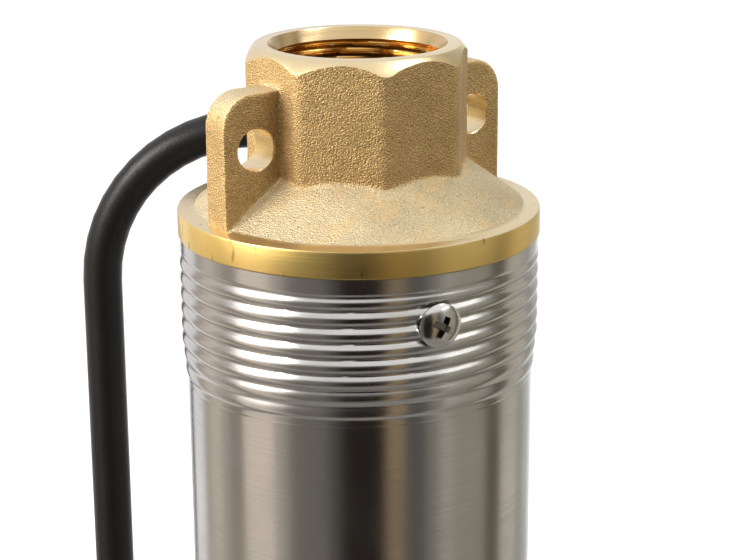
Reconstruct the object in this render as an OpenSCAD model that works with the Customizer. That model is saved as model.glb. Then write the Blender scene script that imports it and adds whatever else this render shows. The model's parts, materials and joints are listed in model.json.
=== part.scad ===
// Borehole submersible pump of the four inch class, standing on its motor.
// A wet end of stacked impellers and diffusers sits in a rolled-thread casing
// between a cast brass discharge head and a suction bracket, over an oil-filled
// motor. Millimetres, Z up the shaft, origin on the axis at the base.

/* [Pump casing] */
// Outside diameter of the plain casing tube
casing_d = 96; // [92:0.5:104]
// Wall of the casing tube
casing_wall = 1.5; // [1:0.1:2.2]
// Pitch of the rolled thread
thread_pitch = 4.3; // [4.1:0.1:4.6]
// How far the thread crests stand out from the plain tube
thread_rise = 1.5; // [1.2:0.05:1.6]
// Depth of the rolled grooves
thread_depth = 0.9; // [0.5:0.05:0.95]
// Turns of rolled thread at each end of the tube
thread_turns = 8; // [8:1:9]
// Smooth collar between the tube's edge and its first turn
thread_collar = 3.4; // [2:0.2:5]

/* [Discharge head] */
// Width of the step of the machined rim outside the thread crests
rim_step = 0.2; // [0.1:0.05:1]
// Height of the machined rim
rim_h = 7.5; // [6:0.1:10]
// Chamfer on the rim's upper edge
rim_chamfer = 0.8; // [0.4:0.1:1.2]
// Width of the flat ledge between the edge of the rim and the shoulder
ledge_w = 3.2; // [2:0.2:5]
// Rise of the shoulder from the ledge to the flats of the boss
dome_h = 12.3; // [10:0.1:15]
// Width across flats of the octagonal boss
boss_af = 57.5; // [56:0.5:60]
// Rounding of the boss corners
boss_corner_r = 3; // [1:0.5:5]
// Height of the mouth above the casing's top edge
head_h = 52; // [50:0.1:60]
// Diameter of the flat face round the mouth
mouth_face_d = 56; // [55:0.2:57]
// Radial growth of the turned boss chamfer for each millimetre down
boss_chamfer_slope = 0.7; // [0.4:0.05:0.9]
// Diameter of the lead-in cone at the face of the mouth
mouth_d = 48.2; // [46:0.2:50]
// Depth of the lead-in cone at the mouth
mouth_h = 3.2; // [2:0.2:5]
// Core diameter of the discharge pipe thread
pipe_core_d = 44.85; // [42:0.05:46]
// Length of the discharge pipe thread
pipe_thread_len = 22; // [18:0.5:24]
// Diameter of the throat below the pipe thread
throat_d = 41; // [38:0.5:42]
// Length of the spigot inside the casing
head_spigot_len = 34; // [32:0.5:38]

/* [Head lugs] */
// Direction of the first lug round the shaft
lug_angle = 216.5; // [190:0.5:240]
// Thickness of each lug plate
lug_t = 9; // [7:0.5:11]
// Distance of the lug's outer edge from the shaft
lug_reach = 46.3; // [44:0.1:47]
// Height of the lug's top above the casing's top edge
lug_top = 43.3; // [42:0.1:46]
// Rounding of the lug's outer top corner
lug_corner_r = 9; // [5:0.5:10]
// Diameter of the eye through each lug
eye_d = 11.2; // [9:0.2:12]
// Distance of the eye from the shaft
eye_reach = 36.3; // [36:0.1:38]
// Height of the eye above the casing's top edge
eye_h = 28.2; // [28:0.1:31]

/* [Stages] */
// Height of one impeller and diffuser stage
stage_pitch = 25; // [23:0.5:30]
// Wall of the diffuser rings
diffuser_wall = 2; // [1.5:0.1:3]
// Thickness of the diffuser webs
web_t = 2; // [1.5:0.1:3]
// Thickness of the plates that the impeller eyes run in
eye_plate_t = 2.5; // [2:0.1:3.5]
// Height of the return vanes
return_vane_h = 7.5; // [6:0.5:9]
// Radial width of the passage round each diffuser web
passage_w = 4.2; // [3:0.2:6]
// Number of return vanes in a diffuser
return_vanes = 7; // [5:1:9]
// Outer diameter of the impellers
impeller_d = 76; // [70:1:82]
// Thickness of the impeller shrouds
shroud_t = 2; // [1.2:0.1:2.4]
// Outer diameter of the impeller eye
eye_neck_d = 35; // [33:0.5:38]
// Wall of the impeller eye
eye_neck_wall = 3; // [2:0.2:3.4]
// Number of impeller vanes
impeller_vanes = 6; // [4:1:8]
// Outer diameter of the impeller hubs
hub_d = 18; // [17:0.5:20]
// Width across flats of the hexagonal pump shaft
shaft_af = 12; // [11:0.2:13]
// Height of the top bearing spider
spider_h = 16; // [15:0.5:20]

/* [Check valve] */
// Diameter of the valve port
port_d = 34; // [30:0.5:36]
// Width of the raised seat round the port
seat_lip_w = 3; // [2:0.2:4]
// Thickness of the valve seat plate
seat_t = 6; // [5:0.5:8]
// Thickness of the valve gasket
gasket_t = 2; // [1.5:0.1:3]
// Thickness of the valve disc
poppet_t = 4; // [3:0.5:5]
// Diameter of the valve stem
stem_d = 8; // [6:0.5:9]
// How far the valve lifts
valve_lift = 8; // [5:0.5:9]

/* [Suction end] */
// Height of the inlet windows
inlet_h = 44; // [38:1:60]
// Thickness of the flange on the motor
flange_h = 12; // [10:0.5:16]
// Length of the suction spigot inside the casing
suction_spigot_len = 36; // [34:0.5:42]
// Wall of the perforated strainer
strainer_t = 1; // [0.8:0.1:1.5]
// Number of strainer slots
strainer_slots = 30; // [20:2:36]
// Width of the strainer slots
slot_w = 3; // [2:0.2:4]

/* [Motor] */
// Outside diameter of the motor casing
motor_d = 94; // [92:0.5:96]
// Wall of the motor casing
motor_wall = 1.5; // [1:0.1:2]
// Length of the motor casing
motor_len = 277.5; // [260:0.5:340]
// Height of the motor's upper bracket above its casing
bracket_h = 24; // [22:0.5:30]
// Height of the bottom cover below the motor casing
cover_h = 14; // [12:0.5:20]
// Length of the stator core
stator_len = 120; // [100:1:140]
// Diameter of the rotor
rotor_d = 48; // [46:0.5:50]
// Number of stator slots
stator_slots = 24; // [18:6:24]
// Outside diameter of the ball bearings
bearing_d = 40; // [38:0.5:42]
// Bore of the ball bearings
bearing_bore = 17; // [16.5:0.5:18]
// Width of the ball bearings
bearing_w = 12; // [11:0.5:13]
// Diameter of the motor shaft's upper end
motor_shaft_d = 16; // [15:0.2:16.4]

/* [Cable] */
// Diameter of the round motor cable
cable_d = 11.8; // [10:0.1:12.2]
// Direction of the cable guard round the shaft
guard_angle = 73.4; // [66:0.2:76]
// Sheet thickness of the cable guard
guard_t = 1; // [0.8:0.1:1.5]
// Width of each wing of the guard
guard_wing_w = 10; // [8:0.5:12]

/* [Screws] */
// Direction of the locking screws round the shaft
lock_angle = 294.5; // [270:0.5:320]
// Depth of the locking screw below the casing's edge
lock_depth = 13.5; // [10:0.5:20]
// Thread diameter of the locking screws
lock_d = 6; // [5:0.5:7]
// Head diameter of the locking screws
lock_head_d = 11.8; // [10:0.2:13]
// Diameter of the studs between pump and motor
stud_d = 8; // [6:0.5:8.5]

/* [Hidden] */
$fn = 64;
stages = 5;
cut = 1;
// Clearances between pieces that are fixed to each other
seat_gap = 0.1;
spigot_gap = 0.2;
screw_gap = 0.05;
// Clearances between pieces that turn or slide
bush_gap = 0.05;
run_gap = 0.4;

// Casing radii
casing_r = casing_d / 2;
casing_in_r = casing_r - casing_wall;
crest_r = casing_r + thread_rise;
valley_r = crest_r - thread_depth;
thread_in_r = valley_r - casing_wall;
collar_r = crest_r - thread_depth / 3;
rim_r = crest_r + rim_step;
spigot_r = casing_in_r - spigot_gap;
lock_head_h = 2.6;
lock_len = 8;
fade_turns = 3;
turn_steps = 6;

// Heights up the shaft
z_motor_low = cover_h;
z_motor_top = z_motor_low + motor_len;
z_bracket_top = z_motor_top + bracket_h;
z_flange_top = z_bracket_top + flange_h;
z_inlet_top = z_flange_top + inlet_h;
z_casing_low = z_inlet_top + rim_h;
z_stack_low = z_casing_low + suction_spigot_len;
z_stack_top = z_stack_low + stages * stage_pitch;
z_spider_top = z_stack_top + spider_h;
z_rim = z_spider_top + head_spigot_len;
z_mouth = z_rim + head_h;

// Head
dome_r = rim_r - rim_chamfer - ledge_w;
boss_r = boss_af / 2;
boss_sides = 8;
boss_base = rim_h;
dome_slope = dome_h / (dome_r - boss_r);
dome_wall = 2;
dome_top_r = throat_d / 2 + dome_wall;
dome_top = rim_h + (dome_r - dome_top_r) * dome_slope;
lug_root = 4;
spigot_edge = 1;
chamber_r = 34;
chamber_top = 9;
throat_low = 20;
pocket_r = 40;
pocket_room = 2;
pocket_h = seat_t + pocket_room;
seal_ring_r = 1.2;
seal_ring_lift = 4;
seal_ring_drop = head_spigot_len - seal_ring_lift;
lug_sink = 3;

// Stages
diffuser_gap = 0.3;
diffuser_r = casing_in_r - diffuser_gap;
diffuser_in_r = diffuser_r - diffuser_wall;
web_r = diffuser_in_r - passage_w;
chamber_h = stage_pitch - web_t - return_vane_h - eye_plate_t;
impeller_gap = 1.5;
impeller_vane_h = chamber_h - 2 * shroud_t - 2 * impeller_gap;
eye_neck_r = eye_neck_d / 2;
eye_hole_r = eye_neck_r + run_gap;
hub_r = hub_d / 2;
hub_drop = 2;
vane_t = 1.8;
vane_inset = 0.5;
vane_root = 2;
weld = 0.4;
spider_hub_h = 9;
sleeve_r = 8;
bush_r = 11;
spider_hub_r = 13.5;
spider_arm_t = 4;
sleeve_proud = 0.5;
nut_h = 5;
nut_proud = 1;
shoulder_step = 0.4;
nut_r = 8;
shaft_end_r = 5;

// Check valve
seat_low = z_rim - head_spigot_len;
lip_h = 1.5;
port_r = port_d / 2;
lip_r = port_r + seat_lip_w;
gasket_low = seat_low + seat_t + lip_h;
poppet_low = gasket_low + gasket_t;
poppet_step = 2;
poppet_r = lip_r + poppet_step;
stem_r = stem_d / 2;
fin_gap = 0.6;
fin_t = 2.4;
fin_lift = 1;
fin_h = gasket_t + lip_h + seat_t - fin_lift;
spring_solid_h = 13.5;
guide_low = poppet_low + poppet_t + valve_lift + spring_solid_h;
guide_h = z_rim + chamber_top - guide_low;
guide_hub_w = 4;
guide_hub_r = stem_r + guide_hub_w;
guide_ring_w = 3;
guide_arm_t = 3.5;
stem_proud = 4;
stem_top = z_rim + chamber_top + stem_proud;
spring_wire_r = 0.9;
spring_r = guide_hub_r - spring_wire_r;
spring_turns = 5;

// Suction end
flange_r = motor_d / 2;
strainer_set = 2.8;
column_gap = 0.3;
// The strainer is held between flange and rim, inside the smaller of the two
strainer_in_r = min(flange_r, rim_r) - strainer_set;
column_r = strainer_in_r - column_gap;
strainer_band = 6;
column_w = 11;
column_half_t = 9;
suction_bore_r = 30;
suction_plate_t = 4;
stud_r = stud_d / 2;
stud_pcr = 35;
stud_depth = 14;
stud_nut_h = 6.5;
stud_nut_r = 7.4;
stud_proud = 2;
stud_gap = 0.3;
coupling_lift = 8;
coupling_drop = 14;
coupling_r = 13;
flange_bore_w = 4;
coupling_low = z_flange_top + coupling_lift;
coupling_top = z_stack_low - coupling_drop;
coupling_mid = (coupling_low + coupling_top) / 2;

// Motor
motor_r = motor_d / 2;
motor_in_r = motor_r - motor_wall;
motor_spigot_r = motor_in_r - seat_gap;
bracket_spigot_len = 36;
cover_spigot_len = 24;
bearing_r = bearing_d / 2;
bearing_in_r = bearing_bore / 2;
race_t = (bearing_r - bearing_in_r) * 0.26;
ball_count = 8;
ball_gap = 0.3;
bearing_mid_r = (bearing_r + bearing_in_r) / 2;
groove_depth = 1;
ball_r = (bearing_r - bearing_in_r) / 2 - race_t + groove_depth - ball_gap;
bearing_lift = 8;
bearing_drop = 30;
bearing_low_z = z_motor_low + bearing_lift;
bearing_top_z = z_motor_top - bearing_drop;
shaft_shoulder_r = 11;
shaft_end_lift = 0.5;
bearing_relief = 1;
seal_step_drop = 3;
seal_room = 1;
seal_ring_step = 2;
stator_lift = 78;
stator_low = z_motor_low + stator_lift;
rotor_r = rotor_d / 2;
stator_in_r = rotor_r + run_gap;
tooth_tip = 2;
slot_low_r = stator_in_r + tooth_tip;
slot_depth = 10;
stator_slot_w = 3.6;
slot_insulation = 0.2;
winding_h = 26;
winding_w = 13;
end_ring_h = 9;
end_ring_w = 9;
end_ring_step = 1;
motor_shaft_r = motor_shaft_d / 2;
seal_pocket_r = 15;
seal_pocket_h = 12;
seal_seat_h = 5;
seal_ring_h = 6;
oring_r = 1.3;
oring_drop = 8;
way_r = 4;
way_reach = 28;
way_lift = 8;
bracket_edge = 1;
cover_edge = 2;
oil_way_r = 3;

// Bottom cover
diaphragm_r = 34;
diaphragm_bore_r = 28;
diaphragm_flange_h = 2;
cap_t = 3;
diaphragm_pocket_h = 16;
diaphragm_wall = 1.8;
diaphragm_room = 2;
cup_gap = 1;
cup_taper = 6;
vent_reach = 12;
vent_r = 2;
screw_set = 0.3;
cap_screw_pcr = 31;
cap_screw_r = 1.5;
cap_screw_head_r = 2.6;
cap_screw_head_h = 1.5;
cap_screw_len = 9;
plug_edge = 6;
plug_reach = motor_r - plug_edge;
plug_r = 3.5;
plug_len = 9;
plug_set = 0.5;
plug_recess = 3;

// Cable, guard and free cord
cable_r = cable_d / 2;
guard_gap = 0.1;
guard_in_r = rim_r + guard_gap;
lead_gap = 0.3;
lead_reach = rim_r + cable_r + lead_gap;
lead_drop = 31;
lead_top = z_rim - lead_drop;
lead_sink = 12;
guard_lift = 1;
guard_low = z_flange_top + guard_lift;
guard_mouth_drop = 2;
guard_mouth = lead_top - guard_mouth_drop;
guard_room = 0.9;
guard_side = cable_r + guard_room;
gland_r = 10;
gland_nut_h = 8;
gland_nut_r = 9.2;
gland_room = 1;
gland_lift = 3;
guard_screw_r = 2;
guard_screw_head_r = 3.4;
guard_screw_head_h = 2;
guard_screw_len = 5;
guard_screw_turn = 14.5;
guard_screw_drop = 20.5;
guard_tab = 4;
guard_screw_top = z_rim - guard_screw_drop;
guard_top = guard_screw_top + guard_tab;
guard_screw_low = z_inlet_top + rim_h / 2;
tie_t = 1.2;
tie_w = 8;
tie_gap = 0.2;
coil_r = 65;
coil_turns = 3;
coil_h = (coil_turns + 1) * cable_d;
tail_len = 70;
core_r = 1.6;
core_len = 40;
cord_sides = 10;
// Route of the free cable from the guard's mouth, over its arch and down to the coil
arch_r = 4 * cable_d;
arch_step = 15;
drop_steps = 16;
bend_step = 30;
lead_x = lead_reach * cos(guard_angle);
lead_y = lead_reach * sin(guard_angle);
arch_y = lead_reach + lead_gap;
drop_x = lead_x - 2 * arch_r;
land_z = tie_t + coil_h - cable_r;
drop_low = land_z + arch_r;
coil_center = [drop_x - coil_r, arch_y - arch_r];
route = concat(
    [for (a = [0 : arch_step : 180])
        [lead_x - arch_r + arch_r * cos(a), lead_y + (arch_y - lead_y) * min(1, a / (2 * arch_step)),
         lead_top + arch_r * sin(a)]],
    [for (k = [1 : drop_steps]) [drop_x, arch_y, lead_top + (drop_low - lead_top) * k / drop_steps]],
    [for (a = [bend_step : bend_step : 90])
        [drop_x, arch_y - arch_r + arch_r * cos(a), drop_low - arch_r * sin(a)]]);

cast_brass = [0.80, 0.66, 0.40];
steel = [0.70, 0.69, 0.67];
dark_steel = [0.45, 0.45, 0.46];
rubber = [0.07, 0.07, 0.08];
resin = [0.16, 0.17, 0.19];
copper = [0.72, 0.42, 0.25];

// Shared shapes

module ring(outer_r, inner_r, low, high) {
    translate([0, 0, low])
        difference() {
            cylinder(r = outer_r, h = high - low);
            translate([0, 0, -cut]) cylinder(r = inner_r, h = high - low + 2 * cut);
        }
}

module torus(mid_r, tube_r, height) {
    translate([0, 0, height]) rotate_extrude() translate([mid_r, 0]) circle(r = tube_r);
}

// A cylinder that points straight out from the shaft
module radial_pin(angle, height, pin_r, from_r, to_r) {
    rotate([0, 0, angle])
        translate([from_r, 0, height])
            rotate([0, 90, 0]) cylinder(r = pin_r, h = to_r - from_r);
}

// One curved vane: a slice of a thin circle between two radii
module vane_outline(from_r, to_r, thickness) {
    bend_r = to_r * 0.64;
    bend_x = to_r * 0.58;
    intersection() {
        difference() {
            translate([bend_x, 0]) circle(r = bend_r);
            translate([bend_x, 0]) circle(r = bend_r - thickness);
        }
        difference() {
            circle(r = to_r);
            circle(r = from_r);
        }
        translate([-to_r - cut, 0]) square([2 * to_r + 2 * cut, to_r + cut]);
    }
}

module vane_set(count, from_r, to_r, low, high) {
    for (i = [0 : count - 1])
        rotate([0, 0, i * 360 / count])
            translate([0, 0, low])
                linear_extrude(high - low) vane_outline(from_r, to_r, vane_t);
}

// A pan head screw that points at the shaft, its head resting at seat_r
module radial_screw(angle, height, shank_r, head_r, head_h, seat_r, len) {
    crown = head_h * 0.55;
    rotate([0, 0, angle])
        translate([seat_r, 0, height])
            rotate([0, 90, 0]) {
                rotate_extrude()
                    polygon([[0, 0], [head_r, 0], [head_r, head_h - crown],
                             [head_r * 0.82, head_h - crown * 0.35], [head_r * 0.45, head_h], [0, head_h]]);
                translate([0, 0, -len]) cylinder(r = shank_r, h = len + weld);
            }
}

// Points swept round a route as one closed tube
function unit(v) = v / norm(v);
function route_dir(p, i) = unit(p[min(i + 1, len(p) - 1)] - p[max(i - 1, 0)]);
function ring_points(p, i, r, sides) =
    let (t = route_dir(p, i), a = unit(cross(t, [1, 1, 0])), b = cross(t, a))
    [for (k = [0 : sides - 1]) p[i] + r * (cos(k * 360 / sides) * a + sin(k * 360 / sides) * b)];

module tube_along(p, r, sides) {
    points = [for (i = [0 : len(p) - 1]) each ring_points(p, i, r, sides)];
    walls = [for (i = [0 : len(p) - 2]) for (k = [0 : sides - 1])
        let (a = i * sides + k, b = i * sides + (k + 1) % sides)
        each [[a, b, b + sides], [a, b + sides, a + sides]]];
    first = [for (k = [0 : sides - 1]) sides - 1 - k];
    last = [for (k = [0 : sides - 1]) (len(p) - 1) * sides + k];
    polyhedron(points, concat(walls, [first, last]));
}

// Pump casing

function thread_fade(turn) = min(1, (thread_turns - turn) / fade_turns);
function thread_r(turn) = casing_r + thread_fade(turn)
    * (thread_rise - thread_depth + thread_depth * (0.5 - 0.5 * cos(360 * turn)));
// Outline of one threaded end, as radius and distance from the tube's edge
thread_outline = concat(
    [[collar_r, 0], [collar_r, thread_collar - thread_pitch / 4]],
    [for (k = [0 : thread_turns * turn_steps])
        [thread_r(k / turn_steps), thread_collar + k * thread_pitch / turn_steps]]);
thread_len = thread_collar + thread_turns * thread_pitch;

module pump_casing() {
    lower = [for (p = thread_outline) [p[0], z_casing_low + p[1]]];
    last = len(thread_outline) - 1;
    upper = [for (i = [last : -1 : 0]) [thread_outline[i][0], z_rim - thread_outline[i][1]]];
    straight = thread_len - fade_turns * thread_pitch;
    bore = [
        [thread_in_r, z_rim], [thread_in_r, z_rim - straight], [casing_in_r, z_rim - thread_len],
        [casing_in_r, z_casing_low + thread_len], [thread_in_r, z_casing_low + straight],
        [thread_in_r, z_casing_low]];
    color(steel)
        difference() {
            rotate_extrude() polygon(concat(lower, upper, bore));
            for (z = [z_rim - lock_depth, z_casing_low + lock_depth])
                radial_pin(lock_angle, z, lock_d / 2 + seat_gap, 0, rim_r);
            for (side = [-1, 1])
                radial_pin(guard_angle + side * guard_screw_turn, guard_screw_top,
                           guard_screw_r + seat_gap, 0, rim_r);
        }
}

module locking_screws() {
    seat_r = crest_r + seat_gap;
    color(steel)
        for (z = [z_rim - lock_depth, z_casing_low + lock_depth])
            radial_screw(lock_angle, z, lock_d / 2, lock_head_d / 2, lock_head_h, seat_r, lock_len);
}

// Discharge head

// Octagon with a flat facing the first lug and round corners
module boss_outline() {
    half = 180 / boss_sides;
    inset_r = (boss_r - boss_corner_r) / cos(half);
    polygon([for (i = [0 : boss_sides - 1]) for (s = [-1, 1])
        let (a = (2 * i + 1) * half, b = a + s * half)
        [inset_r * cos(a) + boss_corner_r * cos(b), inset_r * sin(a) + boss_corner_r * sin(b)]]);
    for (i = [0 : boss_sides - 1])
        rotate((2 * i + 1) * half) translate([inset_r, 0]) circle(r = boss_corner_r);
}

module head_boss() {
    face_r = mouth_face_d / 2;
    flare = (head_h - boss_base) * boss_chamfer_slope;
    intersection() {
        rotate([0, 0, lug_angle])
            translate([0, 0, z_rim + boss_base]) linear_extrude(head_h - boss_base) boss_outline();
        translate([0, 0, z_rim + boss_base])
            cylinder(r1 = face_r + flare, r2 = face_r, h = head_h - boss_base);
    }
}

// One lug plate in its own plane, from the boss out, with a rounded outer corner
module lug_outline() {
    root = boss_r - lug_root;
    square_top = lug_top - lug_corner_r;
    translate([root, rim_h - lug_sink]) square([lug_reach - root, square_top - rim_h + lug_sink]);
    translate([root, square_top - cut]) square([lug_reach - lug_corner_r - root, lug_corner_r + cut]);
    translate([lug_reach - lug_corner_r, square_top]) circle(r = lug_corner_r);
}

module head_lugs() {
    for (turn = [0, 180])
        rotate([0, 0, lug_angle + turn])
            translate([0, lug_t / 2, z_rim])
                rotate([90, 0, 0]) linear_extrude(lug_t) lug_outline();
}

// Rim, ledge, shoulder and threaded spigot, turned as one profile
module head_turning() {
    low = z_rim - head_spigot_len;
    rotate_extrude()
        polygon([[0, low], [spigot_r - spigot_edge, low], [spigot_r, low + spigot_edge], [spigot_r, z_rim],
                 [rim_r, z_rim], [rim_r, z_rim + rim_h - rim_chamfer], [rim_r - rim_chamfer, z_rim + rim_h],
                 [dome_r, z_rim + rim_h], [dome_top_r, z_rim + dome_top], [0, z_rim + dome_top]]);
}

// Water way: seat pocket, valve chamber, throat, pipe thread and mouth
module head_bore() {
    low = z_rim - head_spigot_len;
    pipe_top = head_h - mouth_h;
    pipe_low = pipe_top - pipe_thread_len;
    rotate_extrude()
        polygon([[0, low - cut], [pocket_r, low - cut], [pocket_r, low + pocket_h],
                 [chamber_r, low + pocket_h],
                 [chamber_r, z_rim + chamber_top], [throat_d / 2, z_rim + throat_low],
                 [throat_d / 2, z_rim + pipe_low], [pipe_core_d / 2, z_rim + pipe_low],
                 [pipe_core_d / 2, z_rim + pipe_top], [mouth_d / 2, z_mouth],
                 [mouth_d / 2, z_mouth + cut], [0, z_mouth + cut]]);
}

// The head is one casting. Its bell, boss and lugs are drawn apart, face to face, as simple solids
module discharge_head() {
    color(cast_brass)
        difference() {
            head_turning();
            head_bore();
            radial_pin(lock_angle, z_rim - lock_depth, lock_d / 2 + screw_gap, chamber_r - cut, rim_r);
            for (side = [-1, 1])
                radial_pin(guard_angle + side * guard_screw_turn, guard_screw_top,
                           guard_screw_r + screw_gap, spigot_r - guard_screw_len, rim_r);
            ring(rim_r, spigot_r - 2 * seal_ring_r, z_rim - seal_ring_drop - seal_ring_r,
                 z_rim - seal_ring_drop + seal_ring_r);
        }
}

module discharge_boss() {
    color(cast_brass)
        difference() {
            head_boss();
            head_turning();
            head_bore();
        }
}

module discharge_lugs() {
    color(cast_brass)
        difference() {
            head_lugs();
            head_boss();
            head_turning();
            for (turn = [0, 180])
                rotate([0, 0, lug_angle + turn])
                    translate([eye_reach, lug_t / 2 + cut, z_rim + eye_h])
                        rotate([90, 0, 0]) cylinder(r = eye_d / 2, h = lug_t + 2 * cut);
        }
}

module head_seal_ring() {
    color(rubber) torus(spigot_r - seal_ring_r, seal_ring_r, z_rim - seal_ring_drop);
}

// Check valve

module valve_seat() {
    color(cast_brass) {
        ring(pocket_r - seat_gap, port_r, seat_low, seat_low + seat_t);
        ring(lip_r, port_r, seat_low + seat_t - weld, seat_low + seat_t + lip_h);
    }
}

module valve_guide() {
    color(resin)
        difference() {
            union() {
                ring(chamber_r - seat_gap, chamber_r - guide_ring_w, guide_low, guide_low + guide_h);
                translate([0, 0, guide_low]) cylinder(r = guide_hub_r, h = guide_h);
                for (i = [0 : 2])
                    rotate([0, 0, i * 120 + 30])
                        translate([0, -guide_arm_t / 2, guide_low])
                            cube([chamber_r - guide_ring_w + weld, guide_arm_t, guide_h]);
            }
            translate([0, 0, guide_low - cut]) cylinder(r = stem_r + bush_gap, h = guide_h + 2 * cut);
        }
}

module valve_poppet() {
    color(resin) {
        translate([0, 0, poppet_low]) cylinder(r = poppet_r, h = poppet_t);
        translate([0, 0, poppet_low]) cylinder(r = stem_r, h = stem_top - poppet_low);
        for (i = [0 : 2])
            rotate([0, 0, i * 120])
                translate([-stem_r / 2, -fin_t / 2, poppet_low - fin_h])
                    cube([port_r - fin_gap + stem_r / 2, fin_t, fin_h + weld]);
    }
}

module valve_gasket() {
    color(rubber) ring(poppet_r, port_r, gasket_low, poppet_low);
}

module valve_spring() {
    steps = 14;
    low = poppet_low + poppet_t + spring_wire_r;
    high = guide_low - spring_wire_r;
    path = [for (k = [0 : spring_turns * steps])
        [spring_r * cos(k * 360 / steps), spring_r * sin(k * 360 / steps),
         low + (high - low) * k / (spring_turns * steps)]];
    color(steel) tube_along(path, spring_wire_r, 8);
}

// Stages

module diffuser(index) {
    low = z_stack_low + index * stage_pitch;
    web_low = low + chamber_h;
    vane_low = web_low + web_t;
    plate_low = vane_low + return_vane_h;
    color(resin) {
        ring(diffuser_r, diffuser_in_r, low, low + stage_pitch);
        ring(web_r, hub_r + run_gap, web_low, vane_low);
        mirror([0, 1, 0])
            vane_set(return_vanes, eye_hole_r + vane_inset, diffuser_in_r + weld, vane_low - weld,
                     plate_low + weld);
        ring(diffuser_in_r + weld, eye_hole_r, plate_low, low + stage_pitch);
    }
}

module diffuser_1() diffuser(0);
module diffuser_2() diffuser(1);
module diffuser_3() diffuser(2);
module diffuser_4() diffuser(3);
module diffuser_5() diffuser(4);

module hex_bar(af, low, high) {
    translate([0, 0, low]) cylinder(r = af / 2 / cos(30), h = high - low, $fn = 6);
}

module impeller(index) {
    low = z_stack_low + index * stage_pitch;
    shroud_low = low + impeller_gap;
    vane_low = shroud_low + shroud_t;
    disc_low = vane_low + impeller_vane_h;
    hub_low = low - hub_drop;
    color(resin)
        difference() {
            union() {
                ring(eye_neck_r, eye_neck_r - eye_neck_wall, low - eye_plate_t, vane_low);
                ring(impeller_d / 2, eye_neck_r - weld, shroud_low, vane_low);
                vane_set(impeller_vanes, hub_r + vane_root, impeller_d / 2 - vane_inset, vane_low - weld,
                         disc_low + weld);
                translate([0, 0, disc_low]) cylinder(r = impeller_d / 2, h = shroud_t);
                translate([0, 0, hub_low]) cylinder(r = hub_r, h = stage_pitch);
            }
            hex_bar(shaft_af + 2 * screw_gap, hub_low - cut, hub_low + stage_pitch + cut);
        }
}

module impeller_1() impeller(0);
module impeller_2() impeller(1);
module impeller_3() impeller(2);
module impeller_4() impeller(3);
module impeller_5() impeller(4);

module pump_shaft() {
    hub_low = z_stack_low - hub_drop;
    sleeve_top = z_stack_top + spider_hub_h + sleeve_proud;
    color(dark_steel) {
        hex_bar(shaft_af, coupling_mid, sleeve_top);
        translate([0, 0, coupling_top]) cylinder(r = hub_r - shoulder_step, h = hub_low - coupling_top);
        translate([0, 0, sleeve_top - weld]) cylinder(r = shaft_end_r, h = nut_h + nut_proud);
    }
}

module shaft_sleeve() {
    low = z_stack_top - hub_drop;
    high = z_stack_top + spider_hub_h + sleeve_proud;
    color(steel)
        difference() {
            translate([0, 0, low]) cylinder(r = sleeve_r, h = high - low);
            hex_bar(shaft_af + 2 * screw_gap, low - cut, high + cut);
        }
}

module shaft_nut() {
    low = z_stack_top + spider_hub_h + sleeve_proud;
    color(steel)
        difference() {
            translate([0, 0, low]) cylinder(r = nut_r, h = nut_h, $fn = 6);
            translate([0, 0, low - cut]) cylinder(r = shaft_end_r + screw_gap, h = nut_h + 2 * cut);
        }
}

module top_bearing_spider() {
    color(resin)
        difference() {
            union() {
                ring(diffuser_r, diffuser_in_r, z_stack_top, z_spider_top);
                translate([0, 0, z_stack_top]) cylinder(r = spider_hub_r, h = spider_hub_h);
                for (i = [0 : 3])
                    rotate([0, 0, i * 90])
                        translate([0, -spider_arm_t / 2, z_stack_top])
                            cube([diffuser_in_r + weld, spider_arm_t, spider_hub_h]);
            }
            translate([0, 0, z_stack_top - cut]) cylinder(r = bush_r, h = spider_h);
        }
}

module top_bearing_bush() {
    color(rubber) ring(bush_r, sleeve_r + bush_gap, z_stack_top, z_stack_top + spider_hub_h);
}

// Suction end

module suction_bracket() {
    color(cast_brass)
        difference() {
            union() {
                ring(flange_r, coupling_r + flange_bore_w, z_bracket_top, z_flange_top);
                for (i = [0 : 3])
                    rotate([0, 0, i * 90 + 45])
                        intersection() {
                            ring(column_r, column_r - column_w, z_flange_top - weld, z_inlet_top + weld);
                            translate([0, -column_half_t, z_flange_top - cut])
                                cube([column_r + cut, 2 * column_half_t, inlet_h + 2 * cut]);
                        }
                rotate_extrude()
                    polygon([[suction_bore_r, z_inlet_top], [rim_r - rim_chamfer, z_inlet_top],
                             [rim_r, z_inlet_top + rim_chamfer], [rim_r, z_casing_low],
                             [spigot_r, z_casing_low],
                             [spigot_r, z_stack_low], [eye_hole_r, z_stack_low],
                             [eye_hole_r, z_stack_low - suction_plate_t],
                             [suction_bore_r, z_stack_low - suction_plate_t]]);
            }
            for (i = [0 : 3])
                rotate([0, 0, i * 90])
                    translate([stud_pcr, 0, z_bracket_top - cut])
                        cylinder(r = stud_r + stud_gap, h = flange_h + 2 * cut);
            rotate([0, 0, guard_angle])
                translate([lead_reach, 0, z_bracket_top - cut])
                    cylinder(r = gland_nut_r + gland_room, h = flange_h + 2 * cut);
            radial_pin(lock_angle, z_casing_low + lock_depth, lock_d / 2 + screw_gap, suction_bore_r - cut,
                       rim_r);
            for (side = [-1, 1])
                radial_pin(guard_angle + side * guard_screw_turn, guard_screw_low, guard_screw_r + screw_gap,
                           guard_in_r - guard_screw_len - cut, rim_r + cut);
        }
}

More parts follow.
